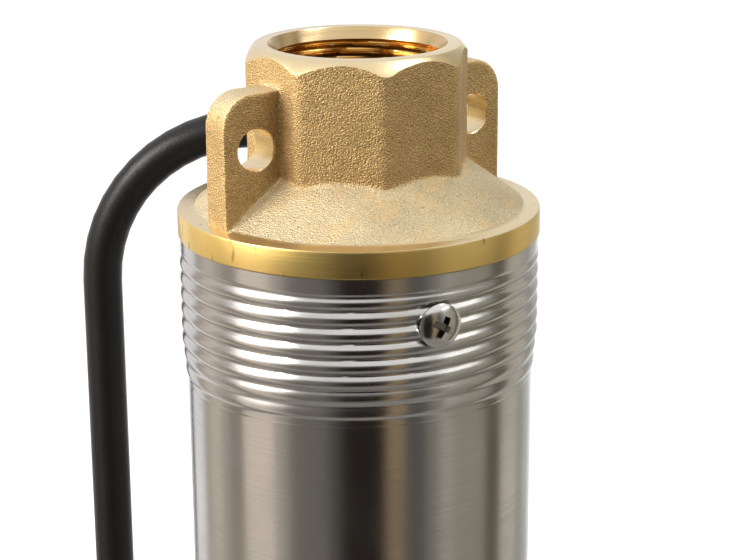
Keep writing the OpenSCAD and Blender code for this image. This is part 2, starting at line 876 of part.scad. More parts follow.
module inlet_strainer() {
    out_r = strainer_in_r + strainer_t;
    color(steel) {
        ring(out_r, strainer_in_r, z_flange_top, z_flange_top + strainer_band);
        ring(out_r, strainer_in_r, z_inlet_top - strainer_band, z_inlet_top);
        translate([0, 0, z_flange_top + strainer_band - weld])
            linear_extrude(inlet_h - 2 * strainer_band + 2 * weld)
                difference() {
                    circle(r = out_r);
                    circle(r = strainer_in_r);
                    for (i = [0 : strainer_slots - 1])
                        rotate(i * 360 / strainer_slots)
                            translate([strainer_in_r / 2, -slot_w / 2]) square([strainer_in_r, slot_w]);
                }
    }
}

module shaft_coupling() {
    color(steel)
        difference() {
            translate([0, 0, coupling_low]) cylinder(r = coupling_r, h = coupling_top - coupling_low);
            hex_bar(shaft_af + 2 * screw_gap, coupling_mid, coupling_top + cut);
            translate([0, 0, coupling_low - cut])
                cylinder(r = motor_shaft_r + screw_gap, h = coupling_mid - coupling_low + cut);
        }
}

module at_studs() {
    for (i = [0 : 3])
        rotate([0, 0, i * 90]) translate([stud_pcr, 0, 0]) children();
}

module bracket_studs() {
    color(steel)
        at_studs()
            translate([0, 0, z_bracket_top - stud_depth])
                cylinder(r = stud_r, h = stud_depth + flange_h + stud_nut_h + stud_proud);
}

module stud_nuts() {
    color(steel)
        at_studs()
            translate([0, 0, z_flange_top])
                difference() {
                    cylinder(r = stud_nut_r, h = stud_nut_h, $fn = 6);
                    translate([0, 0, -cut]) cylinder(r = stud_r + screw_gap, h = stud_nut_h + 2 * cut);
                }
}

// Motor

module motor_bracket() {
    low = z_motor_top - bracket_spigot_len;
    step_r = shaft_shoulder_r + bracket_edge;
    color(cast_brass)
        difference() {
            union() {
                translate([0, 0, low]) cylinder(r = motor_spigot_r, h = bracket_spigot_len + weld);
                rotate_extrude()
                    polygon([[0, z_motor_top], [motor_r, z_motor_top],
                             [motor_r, z_bracket_top - bracket_edge],
                             [motor_r - bracket_edge, z_bracket_top], [0, z_bracket_top]]);
                rotate([0, 0, guard_angle]) {
                    translate([lead_reach, 0, z_motor_top + gland_lift])
                        cylinder(r = gland_r, h = bracket_h - gland_lift);
                    translate([way_reach, -gland_r, z_motor_top + gland_lift])
                        cube([lead_reach - way_reach, 2 * gland_r, bracket_h - gland_lift]);
                }
            }
            // Bearing pocket, shaft way and seal pocket
            rotate_extrude()
                polygon([[0, low - cut], [bearing_r + screw_gap, low - cut],
                         [bearing_r + screw_gap, bearing_top_z + bearing_w],
                         [step_r, bearing_top_z + bearing_w], [step_r, z_bracket_top - seal_pocket_h],
                         [seal_pocket_r, z_bracket_top - seal_pocket_h],
                         [seal_pocket_r, z_bracket_top + cut], [0, z_bracket_top + cut]]);
            at_studs()
                translate([0, 0, z_bracket_top - stud_depth])
                    cylinder(r = stud_r + screw_gap, h = stud_depth + cut);
            // Cable way from the gland into the motor
            rotate([0, 0, guard_angle]) {
                translate([lead_reach, 0, z_bracket_top - lead_sink])
                    cylinder(r = cable_r + seat_gap, h = lead_sink + cut);
                translate([way_reach, 0, z_motor_top + way_lift])
                    rotate([0, 90, 0]) cylinder(r = way_r, h = lead_reach - way_reach);
                translate([lead_reach, 0, z_motor_top + way_lift]) cylinder(r = way_r, h = bracket_h);
                translate([way_reach, 0, low - cut])
                    cylinder(r = way_r, h = bracket_spigot_len + way_lift + cut);
            }
            ring(motor_r, motor_spigot_r - 2 * oring_r, z_motor_top - oring_drop - oring_r,
                 z_motor_top - oring_drop + oring_r);
        }
}

module motor_casing() {
    color(steel) ring(motor_r, motor_in_r, z_motor_low, z_motor_top);
}

module motor_seal_rings() {
    color(rubber)
        for (z = [z_motor_top - oring_drop, z_motor_low + oring_drop])
            torus(motor_spigot_r - oring_r, oring_r, z);
}

module stator_core() {
    color(dark_steel)
        translate([0, 0, stator_low])
            linear_extrude(stator_len)
                difference() {
                    circle(r = motor_in_r - seat_gap);
                    circle(r = stator_in_r);
                    for (i = [0 : stator_slots - 1])
                        rotate(i * 360 / stator_slots)
                            translate([slot_low_r, -stator_slot_w / 2]) square([slot_depth, stator_slot_w]);
                }
}

module stator_windings() {
    bar_w = stator_slot_w - 2 * slot_insulation;
    bar_low_r = slot_low_r + slot_insulation;
    bar_depth = slot_depth - 2 * slot_insulation;
    color(copper) {
        for (z = [stator_low - winding_h, stator_low + stator_len])
            ring(slot_low_r + winding_w, slot_low_r, z, z + winding_h);
        for (i = [0 : stator_slots - 1])
            rotate([0, 0, i * 360 / stator_slots])
                translate([bar_low_r, -bar_w / 2, stator_low - weld])
                    cube([bar_depth, bar_w, stator_len + 2 * weld]);
    }
}

// A race with a ball groove at the middle of the bearing
module race(outer_r, inner_r, low) {
    difference() {
        ring(outer_r, inner_r, low, low + bearing_w);
        torus(bearing_mid_r, ball_r + ball_gap, low + bearing_w / 2);
    }
}

module bearing_outer_races() {
    color(steel)
        for (z = [bearing_low_z, bearing_top_z]) race(bearing_r, bearing_r - race_t, z);
}

module bearing_inner_races() {
    color(steel)
        for (z = [bearing_low_z, bearing_top_z]) race(bearing_in_r + race_t, bearing_in_r, z);
}

module bearing_balls() {
    color(dark_steel)
        for (z = [bearing_low_z, bearing_top_z])
            for (i = [0 : ball_count - 1])
                rotate([0, 0, i * 360 / ball_count])
                    translate([bearing_mid_r, 0, z + bearing_w / 2]) sphere(r = ball_r);
}

module motor_shaft() {
    seal_top = z_bracket_top - seal_pocket_h;
    journal_r = bearing_in_r - screw_gap;
    body_r = shaft_shoulder_r;
    body_low = bearing_low_z + bearing_w;
    end_low = bearing_low_z + shaft_end_lift;
    step_low = seal_top - seal_step_drop;
    color(dark_steel)
        rotate_extrude()
            polygon([[0, end_low], [journal_r, end_low], [journal_r, body_low],
                     [body_r, body_low], [body_r, bearing_top_z], [journal_r, bearing_top_z],
                     [journal_r, step_low], [motor_shaft_r, step_low], [motor_shaft_r, coupling_mid],
                     [0, coupling_mid]]);
}

module rotor_core() {
    color(dark_steel) ring(rotor_r, shaft_shoulder_r + screw_gap, stator_low, stator_low + stator_len);
}

module rotor_end_rings() {
    out_r = rotor_r - end_ring_step;
    color([0.75, 0.76, 0.78])
        for (z = [stator_low - end_ring_h, stator_low + stator_len])
            ring(out_r, out_r - end_ring_w, z, z + end_ring_h);
}

module shaft_seal_seat() {
    low = z_bracket_top - seal_pocket_h;
    color("whitesmoke")
        ring(seal_pocket_r - seat_gap, motor_shaft_r + seal_room, low, low + seal_seat_h);
}

module shaft_seal_ring() {
    low = z_bracket_top - seal_pocket_h + seal_seat_h;
    color(rubber) ring(seal_pocket_r - seal_ring_step, motor_shaft_r + screw_gap, low, low + seal_ring_h);
}

// Bottom cover

module at_cap_screws() {
    for (i = [0 : 5])
        rotate([0, 0, i * 60]) translate([cap_screw_pcr, 0, 0]) children();
}

module bottom_cover() {
    shoulder = cap_t + diaphragm_flange_h;
    top = z_motor_low + cover_spigot_len;
    color(cast_brass)
        difference() {
            union() {
                rotate_extrude()
                    polygon([[0, 0], [motor_r - cover_edge, 0], [motor_r, cover_edge], [motor_r, z_motor_low],
                             [0, z_motor_low]]);
                translate([0, 0, z_motor_low - weld])
                    cylinder(r = motor_spigot_r, h = cover_spigot_len + weld);
            }
            translate([0, 0, -cut]) cylinder(r = diaphragm_r + seat_gap, h = shoulder + cut);
            translate([0, 0, -cut]) cylinder(r = diaphragm_bore_r, h = diaphragm_pocket_h + cut);
            translate([0, 0, bearing_low_z]) cylinder(r = bearing_r + screw_gap, h = top);
            translate([0, 0, bearing_low_z - bearing_relief]) cylinder(r = bearing_r - race_t, h = top);
            translate([bearing_in_r, 0, 0]) cylinder(r = oil_way_r, h = top);
            at_cap_screws()
                cylinder(r = cap_screw_r + screw_gap, h = cap_screw_len + cut);
            rotate([0, 0, 30])
                translate([plug_reach, 0, -cut]) cylinder(r = plug_r + screw_gap, h = plug_len + 2 * cut);
            ring(motor_r, motor_spigot_r - 2 * oring_r, z_motor_low + oring_drop - oring_r,
                 z_motor_low + oring_drop + oring_r);
        }
}

// Rolling rubber diaphragm, a cup with a clamped flange
module diaphragm() {
    high = diaphragm_pocket_h - diaphragm_room;
    cup_r = diaphragm_bore_r - cup_gap;
    top_r = cup_r - cup_taper;
    low = cap_t + diaphragm_flange_h;
    color(rubber)
        difference() {
            rotate_extrude()
                polygon([[0, high], [top_r, high], [cup_r, low], [diaphragm_r, low], [diaphragm_r, cap_t],
                         [cup_r - diaphragm_wall, cap_t], [top_r - diaphragm_wall, high - diaphragm_wall],
                         [0, high - diaphragm_wall]]);
            at_cap_screws() cylinder(r = cap_screw_r + seat_gap, h = cap_screw_len);
        }
}

module diaphragm_cap() {
    color(steel)
        difference() {
            cylinder(r = diaphragm_r, h = cap_t);
            at_cap_screws() {
                translate([0, 0, -cut]) cylinder(r = cap_screw_r + seat_gap, h = cap_t + 2 * cut);
                translate([0, 0, -cut]) cylinder(r = cap_screw_head_r + seat_gap, h = cut + cap_screw_head_h);
            }
            for (i = [0 : 3])
                rotate([0, 0, i * 90 + 45])
                    translate([vent_reach, 0, -cut]) cylinder(r = vent_r, h = cap_t + 2 * cut);
        }
}

module cap_screws() {
    color(steel)
        at_cap_screws() {
            translate([0, 0, screw_set]) cylinder(r = cap_screw_head_r, h = cap_screw_head_h - screw_set);
            cylinder(r = cap_screw_r, h = cap_screw_len);
        }
}

module oil_plug() {
    color(steel)
        rotate([0, 0, 30])
            translate([plug_reach, 0, plug_set])
                difference() {
                    cylinder(r = plug_r, h = plug_len - plug_set);
                    translate([0, 0, -cut]) cylinder(r = plug_r * 0.5, h = plug_recess + cut, $fn = 6);
                }
}

// Cable, guard and free cord

module cable_gland() {
    color(steel)
        rotate([0, 0, guard_angle])
            translate([lead_reach, 0, z_bracket_top])
                difference() {
                    cylinder(r = gland_nut_r, h = gland_nut_h, $fn = 6);
                    translate([0, 0, -cut]) cylinder(r = cable_r + seat_gap, h = gland_nut_h + 2 * cut);
                }
}

module motor_lead() {
    color(rubber)
        rotate([0, 0, guard_angle])
            translate([lead_reach, 0, z_bracket_top - lead_sink])
                cylinder(r = cable_r, h = lead_top - z_bracket_top + lead_sink);
}

// Sections of the guard with the shaft at the origin and the channel along X
module guard_wings() {
    half_w = guard_side + guard_t;
    wing = half_w + guard_wing_w;
    difference() {
        intersection() {
            difference() {
                circle(r = guard_in_r + guard_t);
                circle(r = guard_in_r);
            }
            translate([guard_in_r / 2, -wing]) square([guard_in_r, 2 * wing]);
        }
        translate([guard_in_r / 2, -guard_side]) square([guard_in_r, 2 * guard_side]);
    }
}

module guard_channel() {
    back = lead_reach + guard_side;
    half_w = guard_side + guard_t;
    difference() {
        translate([guard_in_r / 2, -half_w]) square([back + guard_t - guard_in_r / 2, 2 * half_w]);
        circle(r = guard_in_r);
        translate([guard_in_r / 2, -guard_side]) square([back - guard_in_r / 2, 2 * guard_side]);
    }
}

module cable_guard() {
    color(steel)
        difference() {
            rotate([0, 0, guard_angle])
                translate([0, 0, guard_low]) {
                    linear_extrude(guard_top - guard_low) guard_wings();
                    linear_extrude(guard_mouth - guard_low) guard_channel();
                }
            for (side = [-1, 1]) for (z = [guard_screw_top, guard_screw_low])
                radial_pin(guard_angle + side * guard_screw_turn, z, guard_screw_r + seat_gap,
                           casing_in_r, guard_in_r + guard_t + cut);
        }
}

module guard_screws() {
    color(steel)
        for (side = [-1, 1]) for (z = [guard_screw_top, guard_screw_low])
            radial_screw(guard_angle + side * guard_screw_turn, z, guard_screw_r, guard_screw_head_r,
                         guard_screw_head_h, guard_in_r + guard_t, guard_screw_len);
}

module cable_drop() {
    color(rubber) tube_along(route, cable_r, cord_sides);
}

module cable_coil() {
    color(rubber)
        translate([coil_center[0], coil_center[1], tie_t])
            rotate_extrude()
                translate([coil_r, 0]) {
                    translate([-cable_r, cable_r]) square([cable_d, coil_h - cable_d]);
                    translate([0, cable_r]) circle(r = cable_r);
                    translate([0, coil_h - cable_r]) circle(r = cable_r);
                }
}

module cable_ties() {
    side = cable_d + 2 * tie_gap;
    color([0.15, 0.15, 0.16])
        for (turn = [120, 240])
            translate([coil_center[0], coil_center[1], 0])
                rotate([0, 0, turn])
                    translate([coil_r, 0, 0])
                        difference() {
                            translate([-side / 2 - tie_t, -tie_w / 2, 0])
                                cube([side + 2 * tie_t, tie_w, coil_h + 2 * tie_t + tie_gap]);
                            translate([-side / 2, -tie_w / 2 - cut, tie_t])
                                cube([side, tie_w + 2 * cut, coil_h + tie_gap]);
                        }
}

// The sheathed end of the cable, laid straight out from under the coil
module cable_tail() {
    color(rubber)
        translate([coil_center[0] + coil_r, coil_center[1], tie_t + cable_r])
            rotate([90, 0, 0]) cylinder(r = cable_r, h = tail_len);
}

module core_wires() {
    spread = cable_r * 0.5;
    color("saddlebrown")
        for (i = [0 : 2])
            translate([coil_center[0] + coil_r + spread * cos(i * 120 + 90), coil_center[1] - tail_len,
                       tie_t + cable_r + spread * sin(i * 120 + 90)])
                rotate([90, 0, 0]) cylinder(r = core_r, h = core_len);
}

discharge_head();
discharge_boss();
discharge_lugs();
head_seal_ring();
locking_screws();
pump_casing();
valve_seat();
valve_guide();
valve_poppet();
valve_gasket();
valve_spring();
top_bearing_spider();
top_bearing_bush();
diffuser_1();
diffuser_2();
diffuser_3();
diffuser_4();
diffuser_5();
impeller_1();
impeller_2();
impeller_3();
impeller_4();
impeller_5();
pump_shaft();
shaft_sleeve();
shaft_nut();
suction_bracket();
inlet_strainer();
shaft_coupling();
bracket_studs();
stud_nuts();
motor_bracket();
motor_casing();
motor_seal_rings();
stator_core();
stator_windings();
bearing_outer_races();
bearing_inner_races();
bearing_balls();
motor_shaft();
rotor_core();
rotor_end_rings();
shaft_seal_seat();
shaft_seal_ring();
bottom_cover();
diaphragm();
diaphragm_cap();
cap_screws();
oil_plug();
cable_gland();
motor_lead();
cable_guard();
guard_screws();
cable_drop();
cable_coil();
cable_ties();
cable_tail();
core_wires();
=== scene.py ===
"""Looks of a borehole submersible pump: cast brass head, rolled steel casing, motor and cable."""

from __future__ import annotations

import json
import logging
import math
from contextlib import contextmanager
from dataclasses import dataclass
from enum import Enum
from functools import cache
from typing import Callable, ClassVar, Iterator, Sequence

import bpy
from mathutils import Matrix, Vector


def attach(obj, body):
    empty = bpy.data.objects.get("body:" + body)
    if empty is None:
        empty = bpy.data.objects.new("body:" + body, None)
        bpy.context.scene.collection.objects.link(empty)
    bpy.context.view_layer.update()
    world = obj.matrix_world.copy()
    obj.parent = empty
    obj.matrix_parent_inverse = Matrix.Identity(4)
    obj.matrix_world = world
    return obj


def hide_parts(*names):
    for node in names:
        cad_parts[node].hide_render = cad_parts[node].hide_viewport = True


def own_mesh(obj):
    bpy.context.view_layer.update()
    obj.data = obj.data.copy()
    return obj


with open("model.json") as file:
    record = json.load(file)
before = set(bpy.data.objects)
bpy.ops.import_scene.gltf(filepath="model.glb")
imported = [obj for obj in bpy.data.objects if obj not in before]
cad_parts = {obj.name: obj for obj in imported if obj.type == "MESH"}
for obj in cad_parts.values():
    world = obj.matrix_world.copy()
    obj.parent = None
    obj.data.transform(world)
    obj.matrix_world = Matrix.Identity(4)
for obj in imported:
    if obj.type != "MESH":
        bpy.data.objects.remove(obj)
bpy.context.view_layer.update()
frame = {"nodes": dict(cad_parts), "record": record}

LOG = logging.getLogger("pump")
Piece = bpy.types.Object
Socket = bpy.types.NodeSocket
Point = tuple[float, float, float]
Outline = Sequence[tuple[float, float]]
Colour = tuple[float, float, float]
WHITE: Colour = (1.0, 1.0, 1.0)
# Smallest step between two faces or edges, in metres
HAIR = 0.0001


@dataclass(frozen=True)
class Datum:
    """Heights and radii that the pieces share, in metres, as in the part's source."""

    rim: float = 0.590
    casing_low: float = 0.379
    casing_r: float = 0.048
    crest_r: float = 0.0495
    rim_r: float = 0.0497
    rim_h: float = 0.0075
    lug_angle: float = math.radians(216.5)
    lock_angle: float = math.radians(294.5)
    guard_angle: float = math.radians(73.4)
    cable_d: float = 0.0118


DATUM = Datum()


class Slot(Enum):
    """Material slots of the record."""

    CAST_BRASS = "cast_brass"
    ROLLED_STEEL = "rolled_steel"
    MOTOR_STEEL = "motor_steel"
    BRIGHT_SCREW = "bright_screw"
    SHAFT_STEEL = "shaft_steel"
    LAMINATION_STEEL = "lamination_steel"
    COPPER_WINDING = "copper_winding"
    CAST_ALUMINIUM = "cast_aluminium"
    STAGE_RESIN = "stage_resin"
    SEAL_RUBBER = "seal_rubber"
    SEAL_CERAMIC = "seal_ceramic"
    CABLE_RUBBER = "cable_rubber"
    TIE_PLASTIC = "tie_plastic"
    CORE_SHEATH = "core_sheath"


class Bench:
    """Hand tools: short wrappers round the modelling operators."""

    @staticmethod
    def clear() -> None:
        """Leave edit mode and deselect everything."""
        if bpy.context.object and bpy.context.object.mode != "OBJECT":
            bpy.ops.object.mode_set(mode="OBJECT")
        bpy.ops.object.select_all(action="DESELECT")

    @staticmethod
    @contextmanager
    def editing() -> Iterator[None]:
        """Edit the active mesh with all of it selected, then go back to object mode.

        Yields:
            Nothing, while the mesh is in edit mode.
        """
        bpy.ops.object.mode_set(mode="EDIT")
        bpy.ops.mesh.select_mode(type="VERT")
        bpy.ops.mesh.select_all(action="SELECT")
        yield
        bpy.ops.object.mode_set(mode="OBJECT")

    @staticmethod
    def pick(*objs: Piece) -> None:
        """Select these objects alone, the first one active.

        Args:
            objs: The objects to select.
        """
        Bench.clear()
        for obj in objs:
            obj.select_set(True)
        bpy.context.view_layer.objects.active = objs[0]

    @staticmethod
    def name(label: str) -> Piece:
        """Give the active object its name.

        Args:
            label: The piece's name.

        Returns:
            The active object.
        """
        obj = bpy.context.object
        obj.name = obj.data.name = label
        return obj

    @staticmethod
    def place() -> None:
        """Move the active object's place, turn and size into its mesh."""
        bpy.ops.object.transform_apply(location=True, rotation=True, scale=True)

    @staticmethod
    def chain(label: str, points: Sequence[Point]) -> Piece:
        """Draw an open chain of edges by extruding one vertex from point to point.

        Args:
            label: The piece's name.
            points: The chain's points, in metres.

        Returns:
            The chain, in object mode.
        """
        Bench.clear()
        bpy.ops.mesh.primitive_plane_add(size=10 * HAIR)
        obj = Bench.name(label)
        with Bench.editing():
            bpy.ops.mesh.merge(type="CENTER")
            bpy.ops.transform.translate(value=points[0])
            for before, after in zip(points, points[1:]):
                step = Vector(after) - Vector(before)
                bpy.ops.mesh.extrude_vertices_move(TRANSFORM_OT_translate={"value": step})
        return obj

    @staticmethod
    def lathe(label: str, profile: Outline, steps: int) -> Piece:
        """Spin a profile of radius and height round the shaft.

        Args:
            label: The piece's name.
            profile: Radius and height of each point; a ring ends where it starts.
            steps: Number of steps in the turn.

        Returns:
            The turned piece.
        """
        obj = Bench.chain(label, [(r, 0.0, z) for r, z in profile])
        with Bench.editing():
            bpy.ops.mesh.spin(steps=steps, angle=math.tau, center=(0, 0, 0), axis=(0, 0, 1))
        Bench.heal()
        return obj

    @staticmethod
    def heal() -> None:
        """Merge doubles and point the active mesh's faces outwards."""
        with Bench.editing():
            bpy.ops.mesh.remove_doubles(threshold=1e-6)
            bpy.ops.mesh.normals_make_consistent(inside=False)

    @staticmethod
    def slab(label: str, outline: Outline, thick: float) -> Piece:
        """Fill an outline in the XZ plane and extrude it along Y, centred on Y zero.

        Args:
            label: The piece's name.
            outline: Corners of the outline as X and Z, without repeating the first.
            thick: Thickness of the slab.

        Returns:
            The slab.
        """
        obj = Bench.chain(label, [(x, -thick / 2, z) for x, z in outline])
        with Bench.editing():
            bpy.ops.mesh.edge_face_add()
            bpy.ops.mesh.extrude_region_move(TRANSFORM_OT_translate={"value": (0, thick, 0)})
        Bench.heal()
        return obj

    @staticmethod
    def modify(obj: Piece, kind: str, **settings: object) -> None:
        """Add a modifier with its settings and apply it.

        Args:
            obj: The piece.
            kind: The modifier's type.
            settings: Values of the modifier's fields.
        """
        Bench.pick(obj)
        modifier = obj.modifiers.new(kind.title(), kind)
        for key, value in settings.items():
            setattr(modifier, key, value)
        bpy.ops.object.modifier_apply(modifier=modifier.name)

    @staticmethod
    def carve(obj: Piece, cutter: Piece) -> None:
        """Cut a piece with another one, which is used up.

        Args:
            obj: The piece that stays.
            cutter: The piece that is used up; its material goes to the new faces.
        """
        Bench.modify(obj, "BOOLEAN", object=cutter, operation="DIFFERENCE", solver="EXACT",
                     material_mode="TRANSFER")
        bpy.data.objects.remove(cutter)

    @staticmethod
    def join(label: str, *objs: Piece) -> Piece:
        """Join pieces into the first one.

        Args:
            label: The joined piece's name.
            objs: The pieces.

        Returns:
            The joined piece.
        """
        Bench.pick(*objs)
        bpy.ops.object.join()
        return Bench.name(label)

    @staticmethod
    def lay(obj: Piece, turn: Point, shift: Point) -> Piece:
        """Turn a piece about the axes, then shift it, in its mesh.

        Args:
            obj: The piece.
            turn: Turns round X, Y and Z in radians.
            shift: Shift after the turn.

        Returns:
            The same piece.
        """
        Bench.pick(obj)
        obj.rotation_euler = turn
        obj.location = shift
        Bench.place()
        return obj

    @staticmethod
    def turn(obj: Piece, angle: float, height: float = 0.0) -> Piece:
        """Turn a piece round the shaft, then lift it."""
        return Bench.lay(obj, (0, 0, angle), (0, 0, height))

    @staticmethod
    def copy(obj: Piece, label: str) -> Piece:
        """Copy a piece with a mesh of its own.

        Args:
            obj: The piece to copy.
            label: The copy's name.

        Returns:
            The copy.
        """
        Bench.pick(obj)
        bpy.ops.object.duplicate(linked=False)
        return Bench.name(label)

    @staticmethod
    def ripple(obj: Piece, radius: Callable[[float, float, float], float]) -> None:
        """Move each vertex in or out from the shaft.

        Args:
            obj: The piece.
            radius: New radius from the old radius, the angle and the height.
        """
        for vertex in obj.data.vertices:
            x, y, z = vertex.co
            old = math.hypot(x, y)
            if old < 1e-6:
                continue
            share = radius(old, math.atan2(y, x), z) / old
            vertex.co = (x * share, y * share, z)

    @staticmethod
    def smooth(obj: Piece, angle: float) -> None:
        """Shade a piece smooth except at edges sharper than an angle."""
        Bench.pick(obj)
        bpy.ops.object.shade_smooth_by_angle(angle=math.radians(angle))

    @staticmethod
    def fit(obj: Piece, slot: Slot, *nodes: str) -> None:
        """Hang a finished piece on the pump's body and hide the CAD nodes that it stands for.

        Args:
            obj: The piece.
            slot: Material slot of the record; not used.
            nodes: CAD nodes that it stands for.
        """
        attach(obj, "pump")
        if nodes:
            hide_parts(*nodes)
        LOG.info("made %s", obj.name)


class Shade:
    """A node tree with short words for adding and linking nodes."""

    def __init__(self, tree: bpy.types.NodeTree) -> None:
        """Hold the tree that the nodes go into."""
        self.tree = tree

    @classmethod
    def start(cls, label: str) -> tuple[bpy.types.Material, Shade]:
        """Start an empty material.

        Args:
            label: The material's name.

        Returns:
            The material and its node words.
        """
        material = bpy.data.materials.new(label)
        material.use_nodes = True
        material.node_tree.nodes.clear()
        return material, cls(material.node_tree)

    def put(self, socket: Socket, value: object) -> None:
        """Link an output socket to an input, or set the input's value.

        Args:
            socket: The input.
            value: A value or an output socket.
        """
        if isinstance(value, Socket):
            self.tree.links.new(value, socket)
        else:
            socket.default_value = value

    def add(self, kind: str, inputs: dict | None = None, **settings: object) -> bpy.types.Node:
        """Add a node, set its fields and set or link its inputs.

        Args:
            kind: The node's type.
            inputs: Values or output sockets by input name or number.
            settings: Values of the node's fields.

        Returns:
            The node.
        """
        node = self.tree.nodes.new(kind)
        for key, value in settings.items():
            setattr(node, key, value)
        for key, value in (inputs or {}).items():
            self.put(node.inputs[key], value)
        return node

    def maths(self, operation: str, a: object, b: object = 0.0, clamp: bool = False) -> Socket:
        """One step of arithmetic."""
        return self.add("ShaderNodeMath", {0: a, 1: b}, operation=operation, use_clamp=clamp).outputs[0]

    def weigh(self, a: object, of_a: object, b: object, of_b: object) -> Socket:
        """Add two values, each times its weight."""
        return self.maths("ADD", self.maths("MULTIPLY", a, of_a), self.maths("MULTIPLY", b, of_b))

    def span(self, value: object, low: float, high: float,
             to_low: float = 0.0, to_high: float = 1.0) -> Socket:
        """Map a value from one span to another, clamped."""
        sockets = {"Value": value, "From Min": low, "From Max": high, "To Min": to_low, "To Max": to_high}
        return self.add("ShaderNodeMapRange", sockets, clamp=True).outputs[0]

    def mix(self, share: object, a: object, b: object) -> Socket:
        """Mix two colours.

        Args:
            share: Share of the second colour.
            a: First colour or socket.
            b: Second colour or socket.

        Returns:
            The mixed colour's socket.
        """
        node = self.add("ShaderNodeMix", data_type="RGBA")
        for socket, value in ((node.inputs[0], share), (node.inputs[6], a), (node.inputs[7], b)):
            self.put(socket, (*value, 1.0) if isinstance(value, tuple) else value)
        return node.outputs[2]

    def noise(self, vector: object, scale: object, detail: float, rough: float = 0.5) -> Socket:
        """Noise from 0 to 1."""
        sockets = {"Vector": vector, "Scale": scale, "Detail": detail, "Roughness": rough}
        return self.add("ShaderNodeTexNoise", sockets).outputs["Fac"]

    def cloud(self, vector: object, scale: float, detail: float) -> Socket:
        """Noise drawn out to the full span from 0 to 1."""
        return self.span(self.noise(vector, scale, detail), 0.3, 0.7)

    def here(self) -> Socket:
        """Object coordinates."""
        return self.add("ShaderNodeTexCoord").outputs["Object"]

    def upper(self) -> Socket:
        """Share of the pale tone that a surface takes as it faces up: painted light from above.

        Returns:
            The share's socket.
        """
        normal = self.add("ShaderNodeNewGeometry").outputs["Normal"]
        facing = self.add("ShaderNodeSeparateXYZ", {0: normal}).outputs[2]
        return self.span(facing, 0.25, 0.8, 0.0, 0.8)


